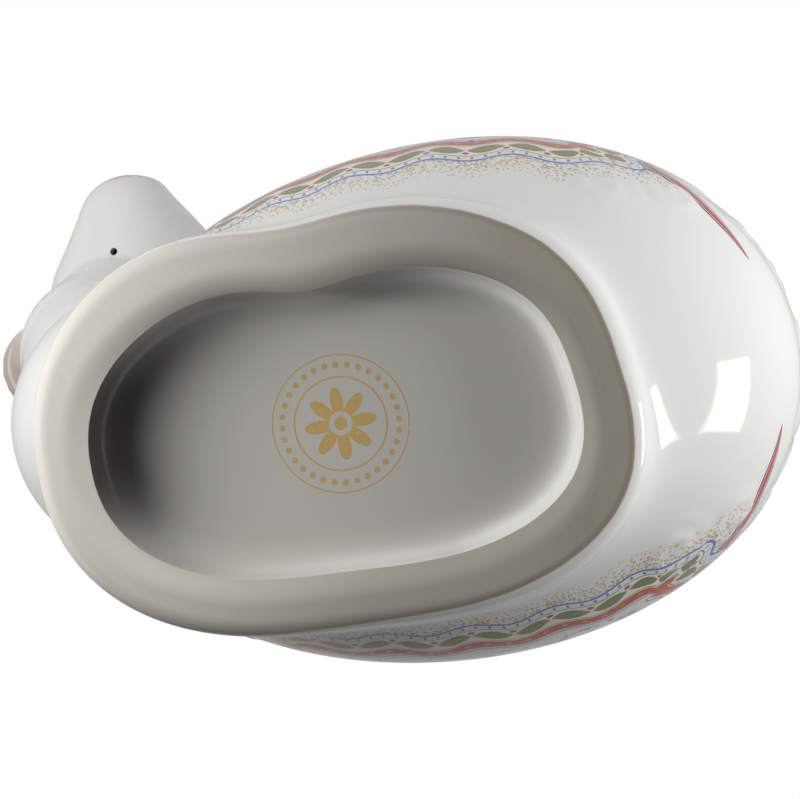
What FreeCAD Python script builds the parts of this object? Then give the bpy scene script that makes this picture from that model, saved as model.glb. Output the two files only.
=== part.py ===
import FreeCAD, Part
import math
import os

import Sketcher

# A porcelain decanter in the form of a lying ram, in millimetres.
# The origin is the centre of the foot ring on the table, +Z is up, the head end is at -X
# and the animal's left flank, towards which it turns its head, is at -Y.

SIZES = {
    # main hull: an egg whose widest level is the belly
    "body_length": 148.0,
    "body_width": 106.6,
    "belly_height": 50.0,
    "belly_drop": 52.0,
    "crown_rise": 52.0,
    "body_back": 16.7,
    "body_right": 1.3,
    "body_fullness": 0.018,
    "body_skew": 0.004,
    "wall": 5.5,
    # chest: a round swelling at the head end
    "chest_radius": 28.0,
    "chest_rise": 38.0,
    "chest_below_belly": 2.0,
    "chest_front": 73.2,
    "chest_left": 6.0,
    # foot ring and the recess inside it
    "foot_length": 118.5,
    "foot_width": 84.6,
    "foot_ahead": 0.6,
    "foot_wall": 8.0,
    "foot_fade": 55.0,
    "foot_squareness": 0.19,
    "foot_skew": 0.028,
    "foot_bend": 0.02,
    "foot_waist": 4.8,
    "foot_waist_ahead": 5.1,
    "foot_waist_span": 20.9,
    "foot_edge": 3.6,
    "ring_ends": 10.2,
    "ring_sides": 11.7,
    "recess_ahead": 1.1,
    "recess_right": 1.0,
    "recess_depth": 11.0,
    "recess_waist": 4.3,
    "recess_waist_ahead": 0.5,
    "recess_waist_span": 15.2,
    "recess_draft": 3.0,
    "recess_corner": 5.0,
    "recess_edge": 4.0,
    "recess_floor": 5.0,
    # neck of the bottle, on the crown of the back
    "bore_diameter": 19.5,
    "neck_wall": 5.0,
    "neck_rise": 9.0,
    "neck_fillet": 4.0,
    # woolly ruff that carries the head
    "ruff_radius": 17.5,
    "ruff_ahead": 15.0,
    "ruff_left": 17.0,
    "ruff_above_belly": 30.0,
    "ruff_top_radius": 16.5,
    # head, cast by itself and hollow, with a vent under the jaw
    "head_radius": 21.5,
    "head_wall": 3.5,
    "head_back": 7.3,
    "head_left": 9.5,
    "head_above_ruff": 25.0,
    "head_pitch_angle": 8.0,
    "muzzle_radius": 11.8,
    "muzzle_reach": 18.0,
    "vent_diameter": 1.8,
    "vent_setback": 17.0,
    "vent_side": 2.3,
    # horns: tapering rods that curl back and down behind the ears
    "horn_root_radius": 6.5,
    "horn_tip_radius": 2.0,
    "horn_coil_start": 17.5,
    "horn_coil_end": 10.0,
    "horn_spread_start": 8.0,
    "horn_spread_end": 27.0,
    "horn_start_angle": -25.0,
    "horn_turn_angle": 235.0,
    "horn_coil_back": 12.5,
    "horn_coil_up": 3.0,
    # ears
    "ear_root": 16.0,
    "ear_back": 9.5,
    "ear_up": 3.0,
    "ear_length": 20.0,
    "ear_width": 21.5,
    "ear_thickness": 5.5,
    "ear_droop_angle": 14.0,
    # tail
    "tail_radius": 8.5,
    "tail_tip_radius": 5.0,
    "tail_length": 13.0,
    "tail_angle": 35.0,
    "tail_sink": 2.5,
    # stopper: a porcelain knob on a cork
    "flange_overhang": 0.8,
    "flange_thickness": 3.0,
    "knob_waist_radius": 6.5,
    "knob_radius": 10.5,
    "knob_rise": 12.0,
    "knob_round": 1.2,
    "spigot_diameter": 10.0,
    "spigot_length": 9.0,
    "cork_length": 22.0,
    "cork_clearance": 0.05,
    "cork_chamfer": 1.5,
}

LEVEL_TOLERANCE = 0.01
OUTLINE_POINTS = 36
BLEND_POWER = 12.0
OVAL_POWER = 2.48
FOOT_LEVELS = (0.0, 0.5, 1.0, 1.6)
BELLY_LEVELS = (0.36, 0.5, 0.68, 0.86)
CHAMBER_LEVELS = (0.0, 0.12, 0.26, 0.44, 0.7)
CROWN_LATITUDES = (0.0, 16.0, 32.0, 46.0, 58.0, 68.0, 76.0, 81.0)
NECK_SEAM_ANGLE = 90.0
HORN_SECTIONS = 12
EAR_STATIONS = ((0.0, 0.75), (0.35, 1.0), (0.65, 0.95), (0.88, 0.65), (0.97, 0.35), (1.0, 0.1))

doc = FreeCAD.newDocument("ram_decanter")


def make_sheet():
    """Put every driving dimension in a cell with its own alias."""
    table = doc.addObject("Spreadsheet::Sheet", "Sizes")
    for row, (alias, value) in enumerate(SIZES.items(), start=1):
        table.set(f"A{row}", alias)
        table.set(f"B{row}", str(value))
        table.setAlias(f"B{row}", alias)
    doc.recompute()
    return table


sheet = make_sheet()


def size(alias):
    """One driving dimension, read from the sheet."""
    return float(sheet.get(alias))


def value(text):
    """The number that an expression on the sheet comes to."""
    return float(sheet.evalExpression(text))


def vector(x, y, z):
    return FreeCAD.Vector(x, y, z)


def bind(item, **expressions):
    """Bind properties of an object to the sheet; a double underscore stands for a dot."""
    for name, text in expressions.items():
        item.setExpression(name.replace("__", "."), text)


def boolean(kind, label, base, tool):
    """A named Part::Cut of two objects, or a named Part::Fuse."""
    item = doc.addObject(f"Part::{kind}", label)
    item.Base = base
    item.Tool = tool
    doc.recompute()
    return item


def fillet_edges(label, base, radius, chosen):
    """Round the edges of an object that a test picks out."""
    doc.recompute()
    rounds = []
    for number, edge in enumerate(base.Shape.Edges, start=1):
        if chosen(edge):
            rounds.append((number, radius, radius))
    item = doc.addObject("Part::Fillet", label)
    item.Base = base
    item.Edges = rounds
    doc.recompute()
    return item


def lies_at(height):
    """A test for edges that lie level at a height."""
    def test(edge):
        box = edge.BoundBox
        return max(abs(box.ZMin - height), abs(box.ZMax - height)) < LEVEL_TOLERANCE
    return test


# Outlines of the hull


def ellipse_reach(angle, centre, half_length, half_width):
    """How far an ellipse reaches from the pole of the outline along an angle."""
    if min(half_length, half_width) <= 0:
        return 0.0
    along = math.cos(angle)
    across = math.sin(angle)
    a = (along / half_length) ** 2 + (across / half_width) ** 2
    b = along * centre[0] / half_length ** 2 + across * centre[1] / half_width ** 2
    c = (centre[0] / half_length) ** 2 + (centre[1] / half_width) ** 2 - 1
    root = b * b - a * c
    if root < 0:
        return 0.0
    return max((b + math.sqrt(root)) / a, 0.0)


def oval_reach(angle, half_length, half_width, form):
    """How far the foot's or the recess's bean-shaped oval reaches from its centre."""
    power = OVAL_POWER + size("foot_squareness") * math.cos(angle)
    along = abs(math.cos(angle)) / half_length
    across = abs(math.sin(angle)) / half_width
    reach = (along ** power + across ** power) ** (-1 / power)
    reach *= 1 + size("foot_skew") * math.sin(2 * angle) + size("foot_bend") * math.sin(3 * angle)
    if math.sin(angle) < 0:
        offset = (reach * math.cos(angle) + size(f"{form}_waist_ahead")) / size(f"{form}_waist_span")
        reach -= size(f"{form}_waist") * math.exp(-offset ** 2)
    return reach


def latitude_share(height, rise):
    """Width of an egg at a height from its widest level, as a share of the widest."""
    return math.sqrt(max(1 - (height / rise) ** 2, 0.0))


def hull_outline(height, inset):
    """Points round the hull at a height: egg, chest and foot melted into one."""
    above_belly = height - size("belly_height")
    egg_rise = size("crown_rise") if above_belly > 0 else size("belly_drop")
    egg = latitude_share(above_belly, egg_rise - inset)
    chest = latitude_share(above_belly + size("chest_below_belly"), size("chest_rise") - inset)
    foot = latitude_share(max(height - size("foot_wall"), 0.0), size("foot_fade"))
    half_crown = size("crown_rise") / 2
    shift = min(max(above_belly / half_crown, 0.0), 1.0)
    pole_x = size("body_back") * shift - size("foot_ahead") * (1 - shift)
    pole_y = size("body_right") * shift
    chest_x = size("chest_radius") - size("chest_front")
    points = []
    for step in range(OUTLINE_POINTS):
        angle = 2 * math.pi * step / OUTLINE_POINTS
        slant = math.atan2(math.sin(angle) / size("body_width"), math.cos(angle) / size("body_length"))
        quarter = math.sin(2 * slant)
        fullness = 1 + size("body_fullness") * quarter ** 2 + size("body_skew") * quarter
        reaches = [
            fullness * ellipse_reach(
                angle,
                (size("body_back") - pole_x, size("body_right") - pole_y),
                egg * (size("body_length") / 2 - inset),
                egg * (size("body_width") / 2 - inset),
            ),
            ellipse_reach(
                angle,
                (chest_x - pole_x, -size("chest_left") - pole_y),
                chest * (size("chest_radius") - inset),
                chest * (size("chest_radius") - inset),
            ),
        ]
        if above_belly < 0:
            half_length = size("foot_length") / 2 - inset
            half_width = size("foot_width") / 2 - inset
            reaches.append(foot * oval_reach(angle, half_length, half_width, "foot"))
        reach = sum(value ** BLEND_POWER for value in reaches) ** (1 / BLEND_POWER)
        points.append(vector(pole_x + reach * math.cos(angle), pole_y + reach * math.sin(angle), height))
    return points


def closed_curve(label, points):
    """A smooth closed curve through points, as one section of a loft."""
    curve = Part.BSplineCurve()
    curve.interpolate(Points=points, PeriodicFlag=True)
    section = doc.addObject("Part::Feature", label)
    section.Shape = Part.Wire([curve.toShape()])
    return section


def loft(label, sections, ruled=False):
    """A solid loft through sections."""
    item = doc.addObject("Part::Loft", label)
    item.Sections = sections
    item.Solid = True
    item.Ruled = ruled
    doc.recompute()
    return item


# The vessel


def crown_height(latitude, inset):
    rise = size("crown_rise") if latitude > 0 else size("belly_drop")
    return size("belly_height") + (rise - inset) * math.sin(math.radians(latitude))


def neck_top():
    return size("belly_height") + size("crown_rise") + size("neck_rise")


def neck_cylinder(label, growth):
    """A cylinder on the axis of the neck, from inside the crown to the rim."""
    item = doc.addObject("Part::Cylinder", label)
    item.Placement.Rotation = FreeCAD.Rotation(vector(0, 0, 1), NECK_SEAM_ANGLE)
    bind(
        item,
        Radius=f"Sizes.bore_diameter / 2 + {growth}",
        Height="Sizes.crown_rise / 2 + Sizes.neck_rise",
        Placement__Base__x="Sizes.body_back",
        Placement__Base__y="Sizes.body_right",
        Placement__Base__z="Sizes.belly_height + Sizes.crown_rise / 2",
    )
    return item


def make_hull():
    """The outside of the vessel, from the foot ring to the rim of its neck."""
    heights = [share * size("foot_wall") for share in FOOT_LEVELS]
    heights += [share * size("belly_height") for share in BELLY_LEVELS]
    heights += [crown_height(latitude, 0.0) for latitude in CROWN_LATITUDES]
    sections = []
    for number, height in enumerate(heights):
        sections.append(closed_curve(f"hull_level_{number:02d}", hull_outline(height, 0.0)))
    neck = neck_cylinder("neck_outside", "Sizes.neck_wall")
    necked = boolean("Fuse", "hull_necked", loft("hull_egg", sections), neck)

    def is_neck_root(edge):
        box = edge.BoundBox
        return box.ZMin > size("belly_height") and box.ZMax < neck_top() - size("neck_rise") / 2

    return fillet_edges("hull", necked, size("neck_fillet"), is_neck_root)


def recess_outline(height, inset):
    """Points round the recess inside the foot ring."""
    half_length = size("foot_length") / 2 - size("ring_ends") - inset
    half_width = size("foot_width") / 2 - size("ring_sides") - inset
    points = []
    for step in range(OUTLINE_POINTS):
        angle = 2 * math.pi * step / OUTLINE_POINTS
        reach = oval_reach(angle, half_length, half_width, "recess")
        x = reach * math.cos(angle) - size("recess_ahead")
        y = reach * math.sin(angle) + size("recess_right")
        points.append(vector(x, y, height))
    return points


def make_recess():
    """The hollow under the vessel, with a rounded corner at its roof."""
    mouth = closed_curve("recess_mouth", recess_outline(0.0, 0.0))
    roof = closed_curve("recess_roof", recess_outline(size("recess_depth"), size("recess_draft")))
    plug = loft("recess_plug", [mouth, roof], ruled=True)
    return fillet_edges("recess", plug, size("recess_corner"), lies_at(size("recess_depth")))


def make_chamber():
    """The space for the liquor, a wall's thickness inside the hull, with the bore above it."""
    inset = size("wall")
    floor = size("recess_depth") + size("recess_floor")
    heights = [floor + share * (size("belly_height") - floor) for share in CHAMBER_LEVELS]
    heights += [crown_height(latitude, inset) for latitude in CROWN_LATITUDES]
    sections = []
    for number, height in enumerate(heights):
        sections.append(closed_curve(f"chamber_level_{number:02d}", hull_outline(height, inset)))
    space = loft("chamber_space", sections)
    return boolean("Fuse", "chamber", space, neck_cylinder("neck_bore", "0"))


def make_vessel(hull):
    """Foot ring, recess, chamber and neck cut from the hull."""
    rounded = fillet_edges("hull_rounded", hull, size("foot_edge"), lies_at(0.0))
    recessed = boolean("Cut", "hull_recessed", rounded, make_recess())
    middle_of_ring = size("foot_length") / 2 - (size("ring_ends") + size("foot_edge")) / 2

    def is_mouth(edge):
        return lies_at(0.0)(edge) and edge.BoundBox.XMax < middle_of_ring

    eased = fillet_edges("hull_eased", recessed, size("recess_edge"), is_mouth)
    return boolean("Cut", "body_shell", eased, make_chamber())


# Turned forms


def origin_plane(body, role):
    for feature in body.Origin.OriginFeatures:
        if feature.Role == role:
            return feature
    raise LookupError(role)


def new_sketch(body, label):
    """A sketch on the upright XZ plane of a body."""
    sketch = body.newObject("Sketcher::SketchObject", label)
    sketch.AttachmentSupport = (origin_plane(body, "XZ_Plane"), [""])
    sketch.MapMode = "FlatFace"
    return sketch


def egg(label, large, small, spacing):
    """An egg turned about its own X axis: two round ends and the cone that touches both.

    The large end is centred on the origin; the sizes are expressions on the sheet.
    """
    body = doc.addObject("PartDesign::Body", label)
    sketch = new_sketch(body, f"{label}_profile")
    start_large = 20.0
    start_small = 10.0
    start_spacing = 20.0
    lean = math.acos((start_large - start_small) / start_spacing)
    touch = vector(math.cos(lean), math.sin(lean), 0)
    far = vector(start_spacing, 0, 0)
    up = vector(0, 0, 1)
    back = sketch.addGeometry(Part.ArcOfCircle(
        Part.Circle(vector(0, 0, 0), up, start_large), lean, math.pi))
    tip = sketch.addGeometry(Part.ArcOfCircle(Part.Circle(far, up, start_small), 0.0, lean))
    side = sketch.addGeometry(Part.LineSegment(
        far + touch * start_small, touch * start_large))
    axis = sketch.addGeometry(Part.LineSegment(
        vector(-start_large, 0, 0), far + vector(start_small, 0, 0)))
    sketch.addConstraint([
        Sketcher.Constraint("Coincident", back, 3, -1, 1),
        Sketcher.Constraint("PointOnObject", tip, 3, -1),
        Sketcher.Constraint("Tangent", side, 1, tip, 2),
        Sketcher.Constraint("Tangent", side, 2, back, 1),
        Sketcher.Constraint("Coincident", axis, 1, back, 2),
        Sketcher.Constraint("Coincident", axis, 2, tip, 1),
        Sketcher.Constraint("PointOnObject", axis, 1, -1),
        Sketcher.Constraint("PointOnObject", axis, 2, -1),
    ])
    for name, text, constraint in (
        ("large", large, Sketcher.Constraint("Radius", back, start_large)),
        ("small", small, Sketcher.Constraint("Radius", tip, start_small)),
        ("spacing", spacing, Sketcher.Constraint("DistanceX", -1, 1, tip, 3, start_spacing)),
    ):
        number = sketch.addConstraint(constraint)
        sketch.renameConstraint(number, name)
        sketch.setExpression(f"Constraints.{name}", text)
    doc.recompute()
    turn = body.newObject("PartDesign::Revolution", f"{label}_turned")
    turn.Profile = sketch
    turn.ReferenceAxis = (sketch, ["H_Axis"])
    turn.Angle = 360.0
    doc.recompute()
    return body


def aim(item, start, direction):
    """Place a turned form with its X axis along a direction."""
    item.Placement = FreeCAD.Placement(start, FreeCAD.Rotation(vector(1, 0, 0), direction))
    doc.recompute()


# Ruff and head


def chest_centre():
    return vector(
        size("chest_radius") - size("chest_front"),
        -size("chest_left"),
        size("belly_height") - size("chest_below_belly"),
    )


def ruff_centre():
    chest = chest_centre()
    return vector(
        chest.x - size("ruff_ahead"),
        chest.y - size("ruff_left"),
        size("belly_height") + size("ruff_above_belly"),
    )


def head_centre():
    return ruff_centre() + vector(size("head_back"), -size("head_left"), size("head_above_ruff"))


def gaze():
    """The way the muzzle points: to the left flank and a little down."""
    pitch = math.radians(size("head_pitch_angle"))
    return vector(0, -math.cos(pitch), -math.sin(pitch))


def make_head_form(label, inset):
    """Ruff and head as one form, drawn in by an inset expression."""
    rise = head_centre() - ruff_centre()
    ruff = egg(
        f"{label}_ruff",
        f"Sizes.ruff_radius - {inset}",
        f"Sizes.ruff_top_radius - {inset}",
        "sqrt(Sizes.head_back^2 + Sizes.head_left^2 + Sizes.head_above_ruff^2)",
    )
    aim(ruff, ruff_centre(), rise)
    head = egg(
        f"{label}_head",
        f"Sizes.head_radius - {inset}",
        f"Sizes.muzzle_radius - {inset}",
        "Sizes.muzzle_reach",
    )
    aim(head, head_centre(), gaze())
    return boolean("Fuse", label, head, ruff)


def make_head(hull, form):
    """The hollow head with its ruff, seated on the shoulder of the vessel."""
    seated = boolean("Cut", "head_seated", form, hull)
    hollowed = boolean("Cut", "head_hollowed", seated, make_head_form("head_hollow", "Sizes.head_wall"))
    tip = head_centre() + gaze() * (size("muzzle_reach") + size("muzzle_radius"))
    vent = doc.addObject("Part::Cylinder", "vent")
    bind(vent, Radius="Sizes.vent_diameter / 2", Height="Sizes.head_radius")
    vent.Placement.Base = vector(
        tip.x - size("vent_side"),
        tip.y + size("vent_setback"),
        head_centre().z - size("head_radius"),
    )
    return boolean("Cut", "head_shell", hollowed, vent)


# Horns, ears and tail


def horn_point(share):
    """A point on the winding centre line of the right horn."""
    start = math.radians(size("horn_start_angle"))
    angle = start + math.radians(size("horn_turn_angle")) * share
    coil = size("horn_coil_start") + (size("horn_coil_end") - size("horn_coil_start")) * share
    spread = size("horn_spread_start")
    spread += (size("horn_spread_end") - size("horn_spread_start")) * math.sin(share * math.pi / 2)
    return head_centre() + vector(
        -spread,
        size("horn_coil_back") + coil * math.sin(angle),
        size("horn_coil_up") + coil * math.cos(angle),
    )


def horn_ring(number):
    """A circle square to the winding line, one of those that shrink from root to tip."""
    step = 0.001
    share = number / HORN_SECTIONS
    ring = doc.addObject("Part::Circle", f"horn_ring_{number:02d}")
    bind(ring, Radius=(
        f"Sizes.horn_root_radius * {1 - share} + Sizes.horn_tip_radius * {share}"))
    place = horn_point(share)
    along = horn_point(share + step) - horn_point(share - step)
    hub = head_centre() + vector(0, size("horn_coil_back"), size("horn_coil_up"))
    outward = vector(0, place.y - hub.y, place.z - hub.z)
    turned = FreeCAD.Rotation(outward, vector(0, 0, 0), along, "ZXY")
    ring.Placement = FreeCAD.Placement(place, turned)
    return ring


def make_horn_rod():
    """The right horn before it is trimmed, in two half turns that share their middle circle."""
    rings = [horn_ring(number) for number in range(HORN_SECTIONS + 1)]
    middle = HORN_SECTIONS // 2
    root_half = loft("right_horn_root", rings[:middle + 1])
    tip_half = loft("right_horn_tip", rings[middle:])
    return boolean("Fuse", "right_horn_rod", root_half, tip_half)


def make_ear_leaf():
    """The right ear before it is trimmed: a leaf that stands out through the curl of the horn."""
    droop = math.radians(size("ear_droop_angle"))
    along = vector(-math.cos(droop), 0, -math.sin(droop))
    root = head_centre() + vector(-size("ear_root"), size("ear_back"), size("ear_up"))
    rings = []
    for number, (share, fullness) in enumerate(EAR_STATIONS):
        ring = doc.addObject("Part::Ellipse", f"ear_ring_{number}")
        bind(
            ring,
            MajorRadius=f"Sizes.ear_width / 2 * {fullness}",
            MinorRadius=f"Sizes.ear_thickness / 2 * {fullness}",
        )
        turned = FreeCAD.Rotation(vector(0, 1, 0), vector(0, 0, 0), along, "ZXY")
        ring.Placement = FreeCAD.Placement(root + along * (size("ear_length") * share), turned)
        rings.append(ring)
    return loft("right_ear_leaf", rings)


def mirrored(label, source):
    """The left one of a pair, mirrored in the middle plane of the head."""
    item = doc.addObject("Part::Mirroring", label)
    item.Source = source
    item.Base = head_centre()
    item.Normal = vector(1, 0, 0)
    doc.recompute()
    return item


def trim(label, form, *neighbours):
    """Cut a form back to the faces that it is luted to."""
    for number, neighbour in enumerate(neighbours, start=1):
        name = label if number == len(neighbours) else f"{label}_trimmed"
        form = boolean("Cut", name, form, neighbour)
    return form


def make_tail(hull):
    """A drop-shaped tail lying down the rump."""
    latitude = math.radians(size("tail_angle"))
    half_length = size("body_length") / 2
    rise = size("crown_rise")
    down = vector(half_length * math.sin(latitude), 0, -rise * math.cos(latitude)).normalize()
    outward = vector(-down.z, 0, down.x)
    on_rump = vector(
        size("body_back") + half_length * math.cos(latitude),
        size("body_right"),
        size("belly_height") + rise * math.sin(latitude),
    )
    drop = egg("tail_drop", "Sizes.tail_radius", "Sizes.tail_tip_radius", "Sizes.tail_length")
    aim(drop, on_rump - outward * size("tail_sink"), down)
    return boolean("Cut", "tail", drop, hull)


# Stopper


def turned(label, corners):
    """A body turned about Z from a closed outline of straight sides.

    Args:
        label: name of the body.
        corners: pairs of expressions on the sheet, radius and height, in order.

    Returns:
        The body, with its outline in the half plane of the radii.
    """
    body = doc.addObject("PartDesign::Body", label)
    sketch = new_sketch(body, f"{label}_profile")
    starts = [vector(value(radius), value(height), 0) for radius, height in corners]
    sides = []
    for number, start in enumerate(starts):
        end = starts[(number + 1) % len(starts)]
        sides.append(sketch.addGeometry(Part.LineSegment(start, end)))
    for number, (radius, height) in enumerate(corners):
        before = sides[number - 1]
        sketch.addConstraint(Sketcher.Constraint("Coincident", before, 2, sides[number], 1))
        for axis, text in (("X", radius), ("Y", height)):
            place = sketch.addConstraint(Sketcher.Constraint(
                f"Distance{axis}", -1, 1, sides[number], 1, value(text)))
            name = f"corner_{number}_{axis}"
            sketch.renameConstraint(place, name)
            sketch.setExpression(f"Constraints.{name}", text)
    doc.recompute()
    turn = body.newObject("PartDesign::Revolution", f"{label}_turned")
    turn.Profile = sketch
    turn.ReferenceAxis = (sketch, ["V_Axis"])
    turn.Angle = 360.0
    doc.recompute()
    return body


def seat_on_neck(item):
    """Stand a turned piece on the axis of the bore, with its zero at the rim of the neck."""
    bind(
        item,
        Placement__Base__x="Sizes.body_back",
        Placement__Base__y="Sizes.body_right",
        Placement__Base__z="Sizes.belly_height + Sizes.crown_rise + Sizes.neck_rise",
    )


def make_knob():
    """The porcelain knob: a flange on the rim, a waist, a ball and a spigot in the cork."""
    spigot = "Sizes.spigot_diameter / 2"
    flange = "Sizes.bore_diameter / 2 + Sizes.neck_wall + Sizes.flange_overhang"
    centre = "Sizes.flange_thickness + Sizes.knob_rise"
    stem = turned("knob_stem", (
        ("0", "-Sizes.spigot_length"),
        (spigot, "-Sizes.spigot_length"),
        (spigot, "0"),
        (flange, "0"),
        (flange, "Sizes.flange_thickness"),
        ("Sizes.knob_waist_radius", "Sizes.flange_thickness"),
        ("Sizes.knob_waist_radius", centre),
        ("0", centre),
    ))
    seat_on_neck(stem)
    ball = doc.addObject("Part::Sphere", "knob_ball")
    seat_on_neck(ball)
    bind(
        ball,
        Radius="Sizes.knob_radius",
        Placement__Base__z=(
            f"Sizes.belly_height + Sizes.crown_rise + Sizes.neck_rise + {centre}"),
    )
    raw = boolean("Fuse", "knob_raw", stem, ball)

    def above_rim(edge):
        box = edge.BoundBox
        return box.ZMin > neck_top() + size("flange_thickness") / 2 and box.ZLength < LEVEL_TOLERANCE

    return fillet_edges("stopper_knob", raw, size("knob_round"), above_rim)


def make_cork():
    """The cork plug: a running fit in the bore, bored blind for the spigot of the knob."""
    spigot = "Sizes.spigot_diameter / 2"
    side = "Sizes.bore_diameter / 2 - Sizes.cork_clearance"
    cork = turned("stopper_cork", (
        ("0", "-Sizes.spigot_length"),
        (spigot, "-Sizes.spigot_length"),
        (spigot, "0"),
        (side, "0"),
        (side, "Sizes.cork_chamfer - Sizes.cork_length"),
        (f"{side} - Sizes.cork_chamfer", "-Sizes.cork_length"),
        ("0", "-Sizes.cork_length"),
    ))
    seat_on_neck(cork)
    return cork


def write(pieces):
    """Check every object of the document, then write one file for each piece."""
    doc.recompute()
    for item in doc.Objects:
        if "Invalid" in item.State or "Error" in item.State:
            raise RuntimeError(f"{item.Label} failed: {item.State}")
    os.makedirs("parts", exist_ok=True)
    for piece in pieces:
        shape = piece.Shape
        if shape.isNull() or not shape.isValid() or len(shape.Solids) != 1:
            raise RuntimeError(f"{piece.Label} isn't one valid solid")
        shape.exportStep(f"parts/{piece.Label}.step")
        box = shape.BoundBox
        print(f"{piece.Label}: {shape.Volume / 1000:.2f} cm3, {len(shape.Faces)} faces,"
              f" x {box.XMin:.1f} {box.XMax:.1f} y {box.YMin:.1f} {box.YMax:.1f}"
              f" z {box.ZMin:.1f} {box.ZMax:.1f}")


hull = make_hull()
head_form = make_head_form("head_form", "0")
right_rod = make_horn_rod()
right_leaf = make_ear_leaf()
write([
    make_vessel(hull),
    make_head(hull, head_form),
    trim("right_horn", right_rod, head_form, hull),
    trim("left_horn", mirrored("left_horn_rod", right_rod), head_form, hull),
    trim("right_ear", right_leaf, head_form),
    trim("left_ear", mirrored("left_ear_leaf", right_leaf), head_form),
    make_tail(hull),
    make_knob(),
    make_cork(),
])
chamber = doc.getObject("chamber_space").Shape.Volume
print(f"liquor chamber: {chamber / 1000:.0f} ml to the root of the neck")
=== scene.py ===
"""Dress a porcelain decanter in the form of a lying ram, seen from under its foot."""

import logging
import math
from dataclasses import dataclass, field
from enum import Enum
from typing import Any, ClassVar, Sequence

import bpy
import numpy as np
from mathutils import Matrix, Vector


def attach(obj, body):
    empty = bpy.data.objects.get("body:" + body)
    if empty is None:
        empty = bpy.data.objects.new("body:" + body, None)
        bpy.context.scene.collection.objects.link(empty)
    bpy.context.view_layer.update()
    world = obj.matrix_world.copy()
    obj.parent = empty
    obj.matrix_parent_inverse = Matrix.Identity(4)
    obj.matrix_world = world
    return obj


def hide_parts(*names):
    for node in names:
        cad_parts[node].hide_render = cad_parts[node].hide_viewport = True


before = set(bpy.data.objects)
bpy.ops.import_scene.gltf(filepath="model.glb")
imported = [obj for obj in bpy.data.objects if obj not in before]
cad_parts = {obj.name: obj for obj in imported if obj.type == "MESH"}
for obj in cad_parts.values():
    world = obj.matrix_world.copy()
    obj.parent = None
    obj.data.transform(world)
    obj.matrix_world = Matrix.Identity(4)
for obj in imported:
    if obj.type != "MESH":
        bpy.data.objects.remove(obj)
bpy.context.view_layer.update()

LOG = logging.getLogger("ram_decanter")
MM = 0.001
Colour = tuple[float, float, float]
Points = np.ndarray


class Body(Enum):
    """Rigid bodies of the decanter."""

    BOTTLE = "bottle"
    STOPPER = "stopper"


class Slot(Enum):
    """Material slots of the record."""

    PORCELAIN = "glazed_porcelain"
    GILT = "gilded_porcelain"
    CORK = "cork"


class Enamel(Enum):
    """Colours of the painted decoration, as linear light."""

    IRON_RED = (0.46, 0.045, 0.028)
    COBALT = (0.09, 0.19, 0.52)
    LEAF = (0.11, 0.2, 0.1)
    ROSE = (0.68, 0.24, 0.26)
    INK = (0.02, 0.022, 0.03)
    GOLD = (0.5, 0.33, 0.11)


# Shader building


class Number:
    """A value in a shader, with Python's arithmetic."""

    def __init__(self, shader: "Graph", socket: bpy.types.NodeSocket) -> None:
        """Wrap one output socket of a shader."""
        self.shader = shader
        self.socket = socket

    def _math(self, operation: str, *terms: Any) -> "Number":
        """Add a Math node on these terms.

        Args:
            operation: what the node does.
            terms: its values.

        Returns:
            The result.
        """
        made = self.shader.node(
            "ShaderNodeMath", {"operation": operation}, dict(enumerate(terms)))
        return Number(self.shader, made.outputs[0])

    def __add__(self, other: Any) -> "Number":
        """Sum."""
        return self._math("ADD", self, other)

    __radd__ = __add__

    def __sub__(self, other: Any) -> "Number":
        """Difference."""
        return self._math("SUBTRACT", self, other)

    def __rsub__(self, other: Any) -> "Number":
        """Difference from a plain number."""
        return self._math("SUBTRACT", other, self)

    def __mul__(self, other: Any) -> "Number":
        """Product."""
        return self._math("MULTIPLY", self, other)

    __rmul__ = __mul__

    def __truediv__(self, other: Any) -> "Number":
        """Quotient."""
        return self._math("DIVIDE", self, other)

    def __pow__(self, other: Any) -> "Number":
        """Power."""
        return self._math("POWER", self, other)

    def __abs__(self) -> "Number":
        """Size without sign."""
        return self._math("ABSOLUTE", self)

    def higher(self, other: Any) -> "Number":
        """The higher of two values."""
        return self._math("MAXIMUM", self, other)

    def root(self) -> "Number":
        """Square root."""
        return self._math("SQRT", self)

    def part(self) -> "Number":
        """What is left above the whole number."""
        return self._math("FRACT", self)

    def cosine(self) -> "Number":
        """Cosine."""
        return self._math("COSINE", self)

    def angle_of(self, other: "Number") -> "Number":
        """Angle of the point whose height is this and whose run is the other."""
        return self._math("ARCTAN2", self, other)

    def rise(self, low: float, high: float) -> "Number":
        """Go smoothly from 0 at a low value to 1 at a high one.

        Args:
            low: value that gives 0.
            high: value that gives 1.

        Returns:
            The share.
        """
        made = self.shader.node(
            "ShaderNodeMapRange",
            {"interpolation_type": "SMOOTHSTEP"},
            {"Value": self, "From Min": low, "From Max": high},
        )
        return Number(self.shader, made.outputs["Result"])

    def within(self, low: float, high: float, soft: float) -> "Number":
        """Be 1 between two values and 0 outside, with soft edges."""
        return self.rise(low - soft, low + soft) * (1 - self.rise(high - soft, high + soft))

    def below(self, limit: float, soft: float) -> "Number":
        """Be 1 under a limit and 0 over it, with a soft edge."""
        return 1 - self.rise(limit - soft, limit + soft)

    def cell(self, period: float, start: float = 0.0) -> "Number":
        """Distance from the middle of the nearest of many equal steps."""
        return ((self / period + start).part() - 0.5) * period


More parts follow.
